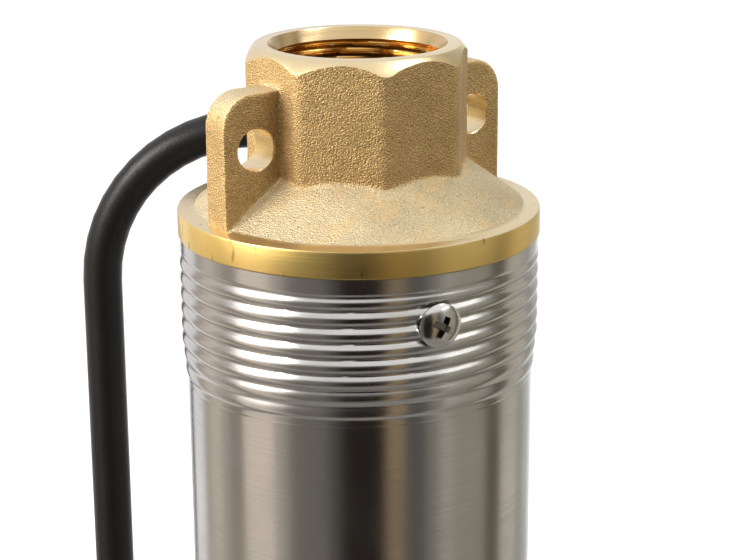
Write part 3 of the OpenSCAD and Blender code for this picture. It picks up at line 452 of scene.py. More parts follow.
class Effects:
    """Shader groups that more than one finish uses, each built once."""

    PATCH_CELLS: ClassVar[float] = 70.0
    PIT_CELLS: ClassVar[float] = 800.0
    # Cell size of the painted glints
    PAINTED_GLINT_CELLS: ClassVar[float] = 2600.0
    CLOUD_CELLS: ClassVar[float] = 45.0
    WEAR_CELLS: ClassVar[float] = 900.0

    @staticmethod
    def group(label: str, inputs: dict[str, float],
              outputs: Sequence[str]) -> tuple[bpy.types.NodeTree, Shade, bpy.types.Node]:
        """Start a group with named number sockets.

        Args:
            label: The group's name.
            inputs: Input names and their first values.
            outputs: Output names.

        Returns:
            The tree, its node words and its input node.
        """
        tree = bpy.data.node_groups.new(label, "ShaderNodeTree")
        for key, value in inputs.items():
            socket = tree.interface.new_socket(key, in_out="INPUT", socket_type="NodeSocketFloat")
            socket.default_value = value
        for key in outputs:
            tree.interface.new_socket(key, in_out="OUTPUT", socket_type="NodeSocketFloat")
        shade = Shade(tree)
        return tree, shade, shade.add("NodeGroupInput")

    @classmethod
    @cache
    def sand_skin(cls) -> bpy.types.NodeTree:
        """Grains, pits, painted glints on bright grains and slow patches of a sand casting.

        Returns:
            A group with outputs for grain, patches, pits, the painted glints and height.
        """
        outputs = ("Grain", "Patch", "Pit", "Painted Glint", "Height")
        tree, shade, into = cls.group("sand skin", {"Grain Scale": 1500.0}, outputs)
        here, scale = shade.here(), into.outputs[0]
        fine = shade.span(shade.noise(here, scale, 1.0), 0.3, 0.7, 0.0, 0.5)
        cell = shade.add("ShaderNodeTexVoronoi", {"Vector": here, "Scale": scale}, feature="F1")
        round_top = shade.span(cell.outputs["Distance"], 0.1, 0.8, 0.5, 0.0)
        grain = shade.maths("ADD", fine, round_top, clamp=True)
        patch = shade.cloud(here, cls.PATCH_CELLS, 4.0)
        pit = shade.span(shade.noise(here, cls.PIT_CELLS, 1.0), 0.74, 0.80)
        # Painted glints: bright specks that stand in for highlights on the grain
        painted_glint = shade.span(shade.noise(here, cls.PAINTED_GLINT_CELLS, 1.0), 0.60, 0.72)
        raised = shade.maths("ADD", grain, shade.maths("MULTIPLY", patch, 0.4))
        height = shade.maths("SUBTRACT", raised, pit)
        shade.add("NodeGroupOutput", dict(zip(outputs, (grain, patch, pit, painted_glint, height))))
        return tree

    @classmethod
    @cache
    def turned_lines(cls) -> bpy.types.NodeTree:
        """Fine rings left by a lathe tool or a belt, on walls and on faces alike.

        Returns:
            A group with outputs Lines and Cloud.
        """
        first = {"Line Scale": 4000.0, "Wander": 25.0}
        tree, shade, into = cls.group("turned lines", first, ("Lines", "Cloud"))
        x, y, z = shade.add("ShaderNodeSeparateXYZ", {0: shade.here()}).outputs
        radius = shade.maths("SQRT", shade.weigh(x, x, y, y))
        across = shade.maths("MULTIPLY", shade.maths("ADD", radius, z), into.outputs["Line Scale"])
        left = shade.maths("MULTIPLY", x, into.outputs["Wander"])
        deep = shade.maths("MULTIPLY", y, into.outputs["Wander"])
        wound = shade.add("ShaderNodeCombineXYZ", {0: across, 1: left, 2: deep}).outputs[0]
        lines = shade.span(shade.noise(wound, 1.0, 3.0, 0.6), 0.3, 0.7)
        cloud = shade.cloud(shade.here(), cls.CLOUD_CELLS, 3.0)
        shade.add("NodeGroupOutput", {"Lines": lines, "Cloud": cloud})
        return tree

    @classmethod
    @cache
    def rubbed_edges(cls) -> bpy.types.NodeTree:
        """Edges that handling has rubbed bright, from the mesh's own bends.

        Returns:
            A group with the output Edge.
        """
        tree, shade, into = cls.group("rubbed edges", {"Reach": 0.06}, ("Edge",))
        bend = shade.add("ShaderNodeNewGeometry").outputs["Pointiness"]
        broken = shade.span(shade.noise(shade.here(), cls.WEAR_CELLS, 3.0), 0.25, 0.75, 0.5, 1.0)
        high = shade.maths("DIVIDE", shade.maths("SUBTRACT", bend, 0.5), into.outputs[0], clamp=True)
        shade.add("NodeGroupOutput", {"Edge": shade.maths("MULTIPLY", high, broken)})
        return tree

    @staticmethod
    def use(shade: Shade, tree: bpy.types.NodeTree, **values: float) -> bpy.types.NodeOutputs:
        """Place a group in a material.

        Args:
            shade: The material's node words.
            tree: The group.
            values: Input values, with underscores for spaces.

        Returns:
            The group's outputs.
        """
        node = shade.add("ShaderNodeGroup", node_tree=tree)
        for key, value in values.items():
            node.inputs[key.replace("_", " ")].default_value = value
        return node.outputs


@dataclass(frozen=True)
class Finish:
    """A finish: its name and a way to make its material once."""

    label: str

    def material(self) -> bpy.types.Material:
        """Make the material, or find the one that is there.

        Returns:
            The material.
        """
        if self.label in bpy.data.materials:
            return bpy.data.materials[self.label]
        material, shade = Shade.start(self.label)
        surface = shade.add("ShaderNodeBsdfPrincipled")
        shade.add("ShaderNodeOutputMaterial", {"Surface": surface.outputs[0]})
        self.paint(shade, surface)
        return material

    def coat(self, obj: Piece) -> Piece:
        """Give a piece this finish, or a tool the finish that it leaves on its cuts."""
        obj.data.materials.append(self.material())
        return obj

    def paint(self, shade: Shade, surface: bpy.types.Node) -> None:
        """Set the shader's inputs."""
        raise NotImplementedError

    @staticmethod
    def feed(shade: Shade, surface: bpy.types.Node, **sockets: object) -> None:
        """Set or link inputs of the shader."""
        for key, value in sockets.items():
            shade.put(surface.inputs[key.replace("_", " ")], value)

    @staticmethod
    def bump(shade: Shade, height: object, depth: float) -> Socket:
        """A bump from a height value."""
        return shade.add("ShaderNodeBump", {"Height": height, "Distance": depth, "Strength": 1.0}).outputs[0]

    @staticmethod
    def tinted(colour: Colour, share: float) -> Colour:
        """A colour made darker or brighter, no part above one."""
        return tuple(min(1.0, part * share) for part in colour)


@dataclass(frozen=True)
class CastMetal(Finish):
    """Sand cast metal with a grainy skin."""

    light: Colour = (0.75, 0.535, 0.265)
    dark: Colour = (0.32, 0.202, 0.073)
    # Pale tone for faces that face up: painted light from above
    pale: Colour = (0.72, 0.64, 0.45)
    rough: float = 0.56
    grain: float = 2300.0
    depth: float = 0.00021
    # Cell size of the random patches in the painted top light
    top_light_patch_cells: float = 130.0

    def paint(self, shade: Shade, surface: bpy.types.Node) -> None:
        """Grains from dark to light, a pale painted top light where they face up broken by random patches,
        painted glints on bright grains, rubbed edges and pits.

        Args:
            shade: The material's node words.
            surface: The Principled shader.
        """
        skin = Effects.use(shade, Effects.sand_skin(), Grain_Scale=self.grain)
        edge = Effects.use(shade, Effects.rubbed_edges(), Reach=0.05)
        tone = shade.weigh(skin["Grain"], 0.7, skin["Patch"], 0.3)
        # Painted light: faces that face up take the pale tone, broken by random patches of the light brass
        upper = shade.mix(tone, self.tinted(self.pale, 0.56), self.tinted(self.pale, 1.16))
        top_light_patch = shade.span(shade.noise(shade.here(), self.top_light_patch_cells, 3.0), 0.50, 0.68, 0.0, 0.45)
        upper = shade.mix(top_light_patch, upper, self.light)
        colour = shade.mix(shade.upper(), shade.mix(tone, self.dark, self.light), upper)
        pitted = shade.maths("MULTIPLY", skin["Pit"], 0.4)
        colour = shade.mix(pitted, colour, self.tinted(self.dark, 0.4))
        rubbed = shade.maths("MULTIPLY", edge["Edge"], 0.7)
        # Painted glints brighten the colour along with the rubbed edges, which are real wear
        painted_glints = shade.maths("MULTIPLY", skin["Painted Glint"], 0.5)
        colour = shade.mix(shade.maths("MAXIMUM", rubbed, painted_glints), colour, self.tinted(self.light, 1.12))
        rough = shade.span(skin["Grain"], 0.0, 1.0, self.rough + 0.12, self.rough - 0.08)
        normal = self.bump(shade, skin["Height"], self.depth)
        self.feed(shade, surface, Base_Color=colour, Metallic=1.0, Roughness=rough, Normal=normal)


@dataclass(frozen=True)
class TurnedMetal(Finish):
    """Metal with fine rings from a lathe or a belt."""

    light: Colour = (0.96, 0.73, 0.35)
    dark: Colour = (0.84, 0.58, 0.22)
    rough: float = 0.26
    lines: float = 4000.0
    depth: float = 0.00001
    streak: float = 0.0
    # Pale tone for faces that face up, if given: painted light from above
    pale: Colour | None = None
    nicks: float = 0.0
    nick_cells: float = 420.0

    def paint(self, shade: Shade, surface: bpy.types.Node) -> None:
        """Rings in colour, gloss and height, with slow clouds and, where asked, upright nicks and a pale
        painted top light on faces that face up.

        Args:
            shade: The material's node words.
            surface: The Principled shader.
        """
        rings = Effects.use(shade, Effects.turned_lines(), Line_Scale=self.lines, Wander=25.0)
        tone = shade.weigh(rings["Lines"], 0.45, rings["Cloud"], 0.55)
        colour = shade.mix(tone, self.dark, self.light)
        # Painted light: faces that face up take the pale tone
        if self.pale:
            colour = shade.mix(shade.upper(), colour, self.pale)
        if self.nicks:
            stretch = {"Vector": shade.here(), "Scale": (1.0, 1.0, 0.3)}
            upright = shade.add("ShaderNodeMapping", stretch).outputs[0]
            nick = shade.span(shade.noise(upright, self.nick_cells, 2.0), 0.66, 0.73)
            nicked = shade.maths("MULTIPLY", nick, self.nicks)
            colour = shade.mix(nicked, colour, self.tinted(self.dark, 0.35))
        rough = shade.span(tone, 0.0, 1.0, self.rough + 0.08, self.rough - 0.05)
        normal = self.bump(shade, rings["Lines"], self.depth)
        self.feed(shade, surface, Base_Color=colour, Metallic=1.0, Roughness=rough, Normal=normal)
        if self.streak:
            around = shade.add("ShaderNodeTangent", direction_type="RADIAL", axis="Z").outputs[0]
            self.feed(shade, surface, Anisotropic=self.streak, Anisotropic_Rotation=0.25, Tangent=around)


@dataclass(frozen=True)
class MouldedSkin(Finish):
    """Rubber, resin or plastic with a faint mottled skin."""

    light: Colour = (0.030, 0.030, 0.032)
    dark: Colour = (0.012, 0.012, 0.013)
    rough: float = 0.5
    grain: float = 900.0
    depth: float = 0.00004
    gloss: float = 0.5
    cloud_cells: float = 60.0

    def paint(self, shade: Shade, surface: bpy.types.Node) -> None:
        """Mottle in colour, gloss and height.

        Args:
            shade: The material's node words.
            surface: The Principled shader.
        """
        here = shade.here()
        mottle = shade.cloud(here, self.grain, 4.0)
        tone = shade.weigh(mottle, 0.5, shade.cloud(here, self.cloud_cells, 3.0), 0.5)
        colour = shade.mix(tone, self.dark, self.light)
        rough = shade.span(tone, 0.0, 1.0, self.rough + 0.1, self.rough - 0.08)
        normal = self.bump(shade, mottle, self.depth)
        self.feed(shade, surface, Base_Color=colour, Roughness=rough, Normal=normal,
                  Specular_IOR_Level=self.gloss)


class Finishes:
    """The finishes of this pump, by the record's slots and by place."""

    # The cast brass, turned brass, rim brass and cast aluminium take pale tones on faces that face up:
    # painted light from above
    sand_brass = CastMetal("sand brass")
    turned_brass = TurnedMetal("turned brass", pale=(0.72, 0.61, 0.43))
    rim_brass = TurnedMetal("rim brass", (0.98, 0.73, 0.28), (0.86, 0.58, 0.17), 0.30,
                            pale=(0.68, 0.58, 0.40), nicks=0.6)
    # Darker, paler copy of the turned brass for the faces inside the mouth: painted shade inside the mouth,
    # with a painted pale sheen on the lead-in chamfer
    mouth_shade_and_sheen_brass = TurnedMetal("mouth shade and sheen brass", (0.74, 0.57, 0.33), (0.54, 0.36, 0.15), 0.2)
    # Darker copy of the brass for the pipe thread deep in the mouth: painted shade
    bore_shade_brass = TurnedMetal("bore shade brass", (0.80, 0.53, 0.20), (0.50, 0.28, 0.07), 0.16)
    rolled_steel = TurnedMetal("rolled steel", (0.68, 0.66, 0.635), (0.52, 0.505, 0.48), 0.2,
                               lines=5000.0, depth=0.000006, streak=0.5)
    motor_steel = TurnedMetal("motor steel", (0.62, 0.61, 0.59), (0.48, 0.47, 0.455), 0.25,
                              lines=4500.0, depth=0.000006, streak=0.5)
    bright_screw = TurnedMetal("bright screw", (0.76, 0.75, 0.72), (0.60, 0.59, 0.56), 0.18,
                               lines=3000.0, depth=0.000002)
    # Dark copy of the screw steel for the cross recess: painted shade in the recess
    screw_recess_shade = TurnedMetal("screw recess shade", (0.34, 0.30, 0.26), (0.16, 0.14, 0.12), 0.22,
                               lines=3000.0, depth=0.000002)
    shaft_steel = TurnedMetal("shaft steel", (0.60, 0.60, 0.60), (0.42, 0.42, 0.42), 0.22,
                              lines=5000.0, depth=0.000006)
    lamination = TurnedMetal("lamination steel", (0.32, 0.32, 0.34), (0.14, 0.14, 0.15), 0.42,
                             lines=2000.0, depth=0.00005)
    copper = TurnedMetal("copper winding", (0.76, 0.38, 0.18), (0.40, 0.16, 0.06), 0.34,
                         lines=1400.0, depth=0.0002)
    # Its third colour is the pale tone of the painted top light
    aluminium = CastMetal("cast aluminium", (0.74, 0.75, 0.77), (0.44, 0.45, 0.47), (0.78, 0.79, 0.80),
                          rough=0.42, grain=1200.0, depth=0.00008)
    resin = MouldedSkin("stage resin", (0.055, 0.060, 0.068), (0.030, 0.033, 0.038), 0.42,
                        grain=1200.0, depth=0.00003)
    seal_rubber = MouldedSkin("seal rubber", (0.026, 0.026, 0.027), (0.010, 0.010, 0.011), 0.55)
    ceramic = MouldedSkin("seal ceramic", (0.78, 0.76, 0.71), (0.66, 0.64, 0.59), 0.25,
                          grain=700.0, depth=0.00001)
    cable_rubber = MouldedSkin("cable rubber", (0.011, 0.0095, 0.0085), (0.004, 0.0035, 0.003), 0.36,
                               grain=1400.0, depth=0.00003, gloss=0.3)
    tie_plastic = MouldedSkin("tie plastic", (0.034, 0.034, 0.036), (0.018, 0.018, 0.019), 0.36)
    core_sheath = MouldedSkin("core sheath", (0.22, 0.10, 0.04), (0.15, 0.06, 0.025), 0.4)
    blue_sheath = MouldedSkin("blue sheath", (0.03, 0.10, 0.36), (0.02, 0.06, 0.25), 0.4)
    grey_sheath = MouldedSkin("grey sheath", (0.24, 0.24, 0.25), (0.16, 0.16, 0.17), 0.4)

    SLOTS: ClassVar[dict[Slot, Finish]] = {
        Slot.CAST_BRASS: sand_brass, Slot.ROLLED_STEEL: rolled_steel, Slot.MOTOR_STEEL: motor_steel,
        Slot.BRIGHT_SCREW: bright_screw, Slot.SHAFT_STEEL: shaft_steel, Slot.LAMINATION_STEEL: lamination,
        Slot.COPPER_WINDING: copper, Slot.CAST_ALUMINIUM: aluminium, Slot.STAGE_RESIN: resin,
        Slot.SEAL_RUBBER: seal_rubber, Slot.SEAL_CERAMIC: ceramic, Slot.CABLE_RUBBER: cable_rubber,
        Slot.TIE_PLASTIC: tie_plastic, Slot.CORE_SHEATH: core_sheath,
    }


@dataclass(frozen=True)
class Strip:
    """One upright stretch of the light tent, by its bearing from the camera's side."""

    start: float
    tone: float
    tint: Colour


@dataclass(frozen=True)
class Lamp:
    """One soft square lamp that points at a height of the shaft."""

    label: str
    place: Point
    aim_h: float
    size: float
    power: float
    tint: Colour = WHITE
    mirrored: bool = True


@dataclass
class Studio:
    """Camera, floor, lamps and the tent that the bright metal mirrors."""

    aim_h: float = 0.7418
    back: float = 0.55295
    pitch: float = math.radians(16.77)
    pan: float = 0.0029
    roll: float = 0.0064
    lens: float = 102.54
    floor_r: float = 14.0
    floor_glow: float = 0.6
    sky_light: float = 0.55
    tent_r: float = 0.5
    tent_h: float = 0.84
    tent_gap: float = 0.002
    # Bearings between which the tent stands higher
    flag: tuple[float, float] = (96.0, 150.0)
    flag_h: float = 1.25
    # Dim cloth laid on the floor inside the tent, seen in the metal alone: painted shade on the floor as the
    # metal mirrors it
    foot: Strip = Strip(0.0, 0.3, (1.0, 0.96, 0.90))
    floor_shade_cloth_r: float = 0.498
    floor_shade_cloth_h: float = 0.0015
    strips: tuple[Strip, ...] = (
        Strip(-181, 0.95, (1.0, 0.98, 1.0)), Strip(-124, 0.45, (1.0, 0.90, 0.78)),
        Strip(-115, 0.66, (1.0, 0.90, 0.76)), Strip(-101, 0.42, (1.0, 0.90, 0.78)),
        Strip(-93, 0.27, (1.0, 0.86, 0.72)), Strip(-80, 0.80, (1.0, 0.88, 0.76)),
        Strip(-56, 0.42, (1.0, 0.90, 0.80)), Strip(-46, 0.18, (1.0, 0.94, 0.84)),
        Strip(-20, 0.09, (1.0, 0.92, 0.82)), Strip(-12, 0.015, (1.0, 0.72, 0.56)),
        Strip(16, 0.32, (1.0, 0.76, 0.48)), Strip(28, 0.10, (1.0, 1.0, 0.95)),
        Strip(42, 0.24, (1.0, 0.96, 0.84)), Strip(51, 0.44, (1.0, 0.95, 0.84)),
        Strip(61, 0.34, (1.0, 0.94, 0.76)), Strip(88, 0.12, (1.0, 0.90, 0.66)),
        Strip(103, 0.60, (1.0, 0.94, 0.80)), Strip(124, 0.40, (1.0, 0.98, 0.90)),
        Strip(136, 0.58, (1.0, 0.99, 0.97)), Strip(152, 1.0, WHITE),
    )
    lamps: tuple[Lamp, ...] = (
        Lamp("key_lamp", (-0.94, -0.38, 1.10), 0.60, 0.55, 16.5, (1.0, 0.98, 0.95)),
        Lamp("top_lamp", (0.0, 0.1, 1.75), 0.60, 0.9, 4.0, mirrored=False),
        Lamp("left_lamp", (-1.05, 0.02, 0.74), 0.60, 0.5, 3.5),
        Lamp("side_lamp", (1.1, -0.4, 1.0), 0.55, 0.6, 3.0, (0.98, 0.99, 1.0)),
        Lamp("brow_lamp", (0.62, -0.06, 1.55), 0.60, 0.35, 3.2, (1.0, 1.0, 0.94)),
    )

    def camera(self) -> None:
        """Set the camera where the photographer stood."""
        data = bpy.data.cameras.new("camera")
        data.lens = self.lens
        data.sensor_width = 36.0
        data.clip_start = 0.01
        obj = bpy.data.objects.new("camera", data)
        bpy.context.scene.collection.objects.link(obj)
        tilt = Matrix.Rotation(math.pi / 2 - self.pitch, 4, "X")
        turn = Matrix.Rotation(-self.pan, 4, "Z") @ tilt @ Matrix.Rotation(-self.roll, 4, "Z")
        obj.matrix_world = Matrix.Translation((0, -self.back, self.aim_h)) @ turn
        bpy.context.scene.camera = obj

    @staticmethod
    def looking(shade: Shade) -> Socket:
        """One for a ray of the camera, of a mirror image or through glass, and zero for stray light.

        Args:
            shade: The material's or the world's node words.

        Returns:
            The mask's socket.
        """
        path = shade.add("ShaderNodeLightPath")
        through = shade.maths("MAXIMUM", path.outputs["Is Glossy Ray"], path.outputs["Is Transmission Ray"])
        return shade.maths("MAXIMUM", path.outputs["Is Camera Ray"], through)

    def floor(self) -> None:
        """Lay a pale floor that shows white and keeps the shadow."""
        Bench.clear()
        bpy.ops.mesh.primitive_circle_add(vertices=96, radius=self.floor_r, fill_type="NGON")
        obj = Bench.name("floor")
        material, shade = Shade.start("pale floor")
        pale = shade.mix(shade.cloud(shade.here(), 3.0, 3.0), (0.80, 0.80, 0.80), (0.84, 0.84, 0.84))
        matt = shade.add("ShaderNodeBsdfDiffuse", {"Color": pale})
        seen = shade.maths("MULTIPLY", self.looking(shade), self.floor_glow)
        glow = shade.add("ShaderNodeEmission", {"Strength": seen})
        both = shade.add("ShaderNodeAddShader", {0: matt.outputs[0], 1: glow.outputs[0]})
        shade.add("ShaderNodeOutputMaterial", {"Surface": both.outputs[0]})
        obj.data.materials.append(material)

    def tent(self) -> None:
        """Stand a ring of pale and dark cloths round the pump, and lay a dim floor cloth of painted shade
        inside it, all seen in its metal alone.
        """
        Bench.clear()
        bpy.ops.mesh.primitive_cylinder_add(vertices=360, radius=self.tent_r, depth=self.tent_h,
                                            end_fill_type="NOTHING",
                                            location=(0, 0, self.tent_h / 2 + self.tent_gap))
        obj = Bench.name("light_tent")
        Bench.place()
        for vertex in obj.data.vertices:
            raised = self.flag[0] < self.bearing(vertex.co) < self.flag[1]
            if raised and vertex.co.z > self.tent_h / 2:
                vertex.co.z = self.flag_h
        for k, strip in enumerate(self.strips):
            obj.data.materials.append(self.cloth(f"tent cloth {k + 1}", strip))
        for face in obj.data.polygons:
            bearing = self.bearing(face.center)
            face.material_index = max(k for k, strip in enumerate(self.strips) if strip.start <= bearing)
        self.mirror_only(obj)
        # Dim floor cloth: painted shade on the floor in the metal's reflections
        Bench.clear()
        bpy.ops.mesh.primitive_circle_add(vertices=96, radius=self.floor_shade_cloth_r, fill_type="NGON",
                                          location=(0, 0, self.floor_shade_cloth_h))
        foot = Bench.name("floor_shade_cloth")
        Bench.place()
        foot.data.materials.append(self.cloth("floor shade cloth", self.foot))
        self.mirror_only(foot)

    @staticmethod
    def bearing(point: Vector) -> float:
        """Bearing of a point round the shaft, in degrees from the camera's side."""
        return math.degrees(math.atan2(point.x, -point.y))

    @staticmethod
    def mirror_only(obj: Piece) -> None:
        obj.visible_camera = obj.visible_diffuse = obj.visible_shadow = obj.visible_transmission = False

    @staticmethod
    def cloth(label: str, strip: Strip) -> bpy.types.Material:
        """One cloth of the tent, glowing evenly.

        Args:
            label: The material's name.
            strip: The stretch that it hangs on.

        Returns:
            The material.
        """
        material, shade = Shade.start(label)
        glow = shade.add("ShaderNodeEmission", {"Color": (*strip.tint, 1.0), "Strength": strip.tone})
        shade.add("ShaderNodeOutputMaterial", {"Surface": glow.outputs[0]})
        return material

    @staticmethod
    def hang(lamp: Lamp) -> None:
        """Hang one lamp.

        Args:
            lamp: The lamp.
        """
        data = bpy.data.lights.new(lamp.label, "AREA")
        data.size = lamp.size
        data.energy = lamp.power
        data.color = lamp.tint
        obj = bpy.data.objects.new(lamp.label, data)
        bpy.context.scene.collection.objects.link(obj)
        toward = Vector((0, 0, lamp.aim_h)) - Vector(lamp.place)
        obj.location = lamp.place
        obj.rotation_euler = toward.to_track_quat("-Z", "Y").to_euler()
        obj.visible_camera = False
        obj.visible_glossy = lamp.mirrored

    def world(self) -> None:
        """Give the world an even white."""
        world = bpy.data.worlds.new("studio world")
        bpy.context.scene.world = world
        world.use_nodes = True
        world.node_tree.nodes.clear()
        shade = Shade(world.node_tree)
        strength = shade.span(self.looking(shade), 0.0, 1.0, self.sky_light, 1.0)
        sky = shade.add("ShaderNodeBackground", {"Color": (*WHITE, 1.0), "Strength": strength})
        shade.add("ShaderNodeOutputWorld", {"Surface": sky.outputs[0]})
        bpy.context.scene.view_settings.view_transform = "Standard"

    def build(self) -> None:
        """Make the whole studio."""
        self.camera()
        self.world()
        self.floor()
        self.tent()
        for lamp in self.lamps:
            self.hang(lamp)
        LOG.info("made studio")


@dataclass
class FreeCable:
    """The motor cable from the guard's mouth, over its arch, down to the coil and its tail."""

    diameter: float = DATUM.cable_d
    reach: float = 0.0559
    top: float = DATUM.rim - 0.031
    gap: float = 0.0003
    coil_r: float = 0.065
    turns: int = 3
    tie: float = 0.0012
    tail: float = 0.070
    length: float = 1.99
    # Points on each stretch of the route
    arch_steps: int = 24
    lean_steps: int = 4
    drop_steps: int = 12
    bend_steps: int = 8
    coil_steps: int = 28
    tail_steps: int = 4

    def route(self) -> list[Point]:
        """Centre line of the free cable.

        Returns:
            Points in metres from the guard's mouth to the tail's end.
        """
        arch = 4 * self.diameter
        x = self.reach * math.cos(DATUM.guard_angle)
        y = self.reach * math.sin(DATUM.guard_angle)
        plane = self.reach + self.gap
        drop = x - 2 * arch
        land = self.tie + (self.turns + 1) * self.diameter - self.diameter / 2
        low = land + arch
        points = []
        for k in range(self.arch_steps + 1):
            a = math.pi * k / self.arch_steps
            lean = min(1.0, k / self.lean_steps)
            across = x - arch + arch * math.cos(a)
            points.append((across, y + (plane - y) * lean, self.top + arch * math.sin(a)))
        for k in range(1, self.drop_steps + 1):
            points.append((drop, plane, self.top + (low - self.top) * k / self.drop_steps))
        for k in range(1, self.bend_steps + 1):
            a = math.pi / 2 * k / self.bend_steps
            points.append((drop, plane - arch + arch * math.cos(a), low - arch * math.sin(a)))
        middle = (drop - self.coil_r, plane - arch)
        for k in range(1, self.turns * self.coil_steps + 1):
            a = -math.tau * k / self.coil_steps
            z = land - self.diameter * k / self.coil_steps
            points.append((middle[0] + self.coil_r * math.cos(a), middle[1] + self.coil_r * math.sin(a), z))
        end = points[-1]
        for k in range(1, self.tail_steps + 1):
            points.append((end[0], end[1] - self.tail * k / self.tail_steps, end[2]))
        return points

    def build(self) -> None:
        points = self.route()
        data = bpy.data.curves.new("free_cable", "CURVE")
        data.dimensions = "3D"
        data.bevel_depth = self.diameter / 2
        data.bevel_resolution = 7
        data.use_fill_caps = True
        spline = data.splines.new("POLY")
        spline.points.add(len(points) - 1)
        for at, point in zip(spline.points, points):
            at.co = (*point, 1.0)
        spline.use_smooth = True
        obj = bpy.data.objects.new("free_cable", data)
        bpy.context.scene.collection.objects.link(obj)
        Finishes.cable_rubber.coat(obj)
        Bench.fit(obj, Slot.CABLE_RUBBER, "cable_drop", "cable_coil", "cable_tail")


@dataclass(frozen=True)
class Thread:
    """A helical thread by its pitch, depth and place."""

    pitch: float
    depth: float
    start: float

    def turns(self, angle: float, z: float) -> float:
        """Turns of the thread from its start to a point."""
        return (self.start - z) / self.pitch + angle / math.tau


def smooth_step(value: float, low: float, high: float) -> float:
    """Ease from 0 to 1 between two values."""
    share = min(1.0, max(0.0, (value - low) / (high - low)))
    return share * share * (3 - 2 * share)


@dataclass
class DischargeHead:
    """Cast brass head: boss, lugs and shoulder, with turned rim, mouth and pipe thread."""

    # Boss, and the face and cone turned on it
    boss_flats: float = 0.0575
    boss_round: float = 0.0042
    boss_foot: float = 0.006
    boss_spare: float = 0.002
    height: float = 0.052
    face_r: float = 0.028
    face_edge: float = 0.0005
    slope: float = 0.7
    cone_drop: float = 0.0064
    # Lugs and their eyes
    lug_t: float = 0.009
    lug_reach: float = 0.0463
    lug_top: float = 0.0433
    lug_round: float = 0.009
    lug_root: float = 0.005
    lug_foot: float = 0.0045
    eye_r: float = 0.0056
    eye_reach: float = 0.0363
    eye_h: float = 0.0282
    eye_edge: float = 0.0002
    # Sloping shoulder
    dome_r: float = 0.0457
    dome_h: float = 0.0123
    dome_in: float = 0.0225
    dome_sink: float = 0.004
    dome_lip: float = 0.0006
    # Mouth, pipe thread and water way
    mouth_r: float = 0.0241
    mouth_low_r: float = 0.0227
    mouth_h: float = 0.0032
    mouth_flare: float = 0.004
    core_r: float = 0.022425
    pipe: Thread = Thread(0.002309, 0.00148, DATUM.rim + 0.0488)
    pipe_len: float = 0.022
    pipe_rows: int = 96
    pipe_lead: float = 0.0016
    pipe_run_out: float = 0.005
    pipe_flank: float = 1.25
    pipe_crest: float = 0.12
    sleeve_seat: float = 0.0006
    sleeve_wall: float = 0.0008
    throat_r: float = 0.0205
    throat_foot: float = 0.02
    chamber_r: float = 0.034
    chamber_top: float = 0.009
    # Rim and spigot
    rim_edge: float = 0.0007
    rim_break: float = 0.0004
    rim_recess: float = 0.003
    spigot_r: float = 0.0463
    spigot_in: float = 0.040
    spigot_edge: float = 0.001
    spigot_len: float = 0.034
    spigot_step: float = 0.008
    # Tools, and the skin that the mould leaves
    tool_r: float = 0.042
    tool_spare: float = 0.01
    voxel: float = 0.0005
    mould_wave: float = 0.006
    mould_depth: float = 0.00022

    def boss(self) -> Piece:
        """Octagonal boss with its corners rounded.

        Returns:
            The boss.
        """
        Bench.clear()
        corner = self.boss_flats / 2 / math.cos(math.pi / 8)
        low, high = DATUM.rim + self.boss_foot, DATUM.rim + self.height + self.boss_spare
        bpy.ops.mesh.primitive_cylinder_add(vertices=8, radius=corner, depth=high - low,
                                            location=(0, 0, (low + high) / 2),
                                            rotation=(0, 0, DATUM.lug_angle + math.pi / 8))
        obj = Bench.name("head_boss")
        Bench.place()
        bpy.ops.object.mode_set(mode="EDIT")
        bpy.ops.mesh.select_mode(type="EDGE")
        bpy.ops.mesh.select_all(action="DESELECT")
        bpy.ops.object.mode_set(mode="OBJECT")
        spots = obj.data.vertices
        for edge in obj.data.edges:
            a, b = (spots[i].co for i in edge.vertices)
            edge.select = abs(a.z - b.z) > (high - low) / 2
        bpy.ops.object.mode_set(mode="EDIT")
        bpy.ops.mesh.bevel(offset=self.boss_round * math.tan(math.pi / 8), segments=4, affect="EDGES")
        bpy.ops.object.mode_set(mode="OBJECT")
        return obj

    def lug(self, label: str, angle: float) -> Piece:
        """One lug plate with its outer corner rounded.

        Args:
            label: The piece's name.
            angle: Bearing of the lug.

        Returns:
            The lug.
        """
        root = self.boss_flats / 2 - self.lug_root
        steps, bend = 12, self.lug_round
        outline = [(root, self.lug_foot), (self.lug_reach, self.lug_foot)]
        for k in range(steps + 1):
            a = math.pi / 2 * k / steps
            outline.append((self.lug_reach - bend + bend * math.cos(a),
                            self.lug_top - bend + bend * math.sin(a)))
        outline.append((root, self.lug_top))
        return Bench.turn(Bench.slab(label, outline, self.lug_t), angle, DATUM.rim)

    def dome(self) -> Piece:
        """Sloping shoulder as a solid of revolution.

        Returns:
            The shoulder.
        """
        z = DATUM.rim + DATUM.rim_h
        low = z - self.dome_sink
        slope = self.dome_h / (self.dome_r - self.boss_flats / 2)
        top = z + slope * (self.dome_r - self.dome_in)
        foot = self.dome_r + self.dome_lip
        profile = [(0.0, low), (foot, low), (foot, z), (self.dome_r, z), (self.dome_in, top), (0.0, top)]
        return Bench.lathe("head_dome", profile, 96)

    def mouth_cutter(self) -> Piece:
        """Tool that turns the face and the cone of the mouth.

        Returns:
            The tool.
        """
        top = DATUM.rim + self.height
        low, high = top - self.cone_drop, top + self.tool_spare
        edge = self.face_edge
        profile = [
            (0.0, top), (self.face_r - edge, top), (self.face_r + edge * 0.2, top - edge * 0.6),
            (self.face_r + self.cone_drop * self.slope, low), (self.tool_r, low),
            (self.tool_r, high), (0.0, high),
        ]
        return Finishes.turned_brass.coat(Bench.lathe("mouth_cutter", profile, 160))

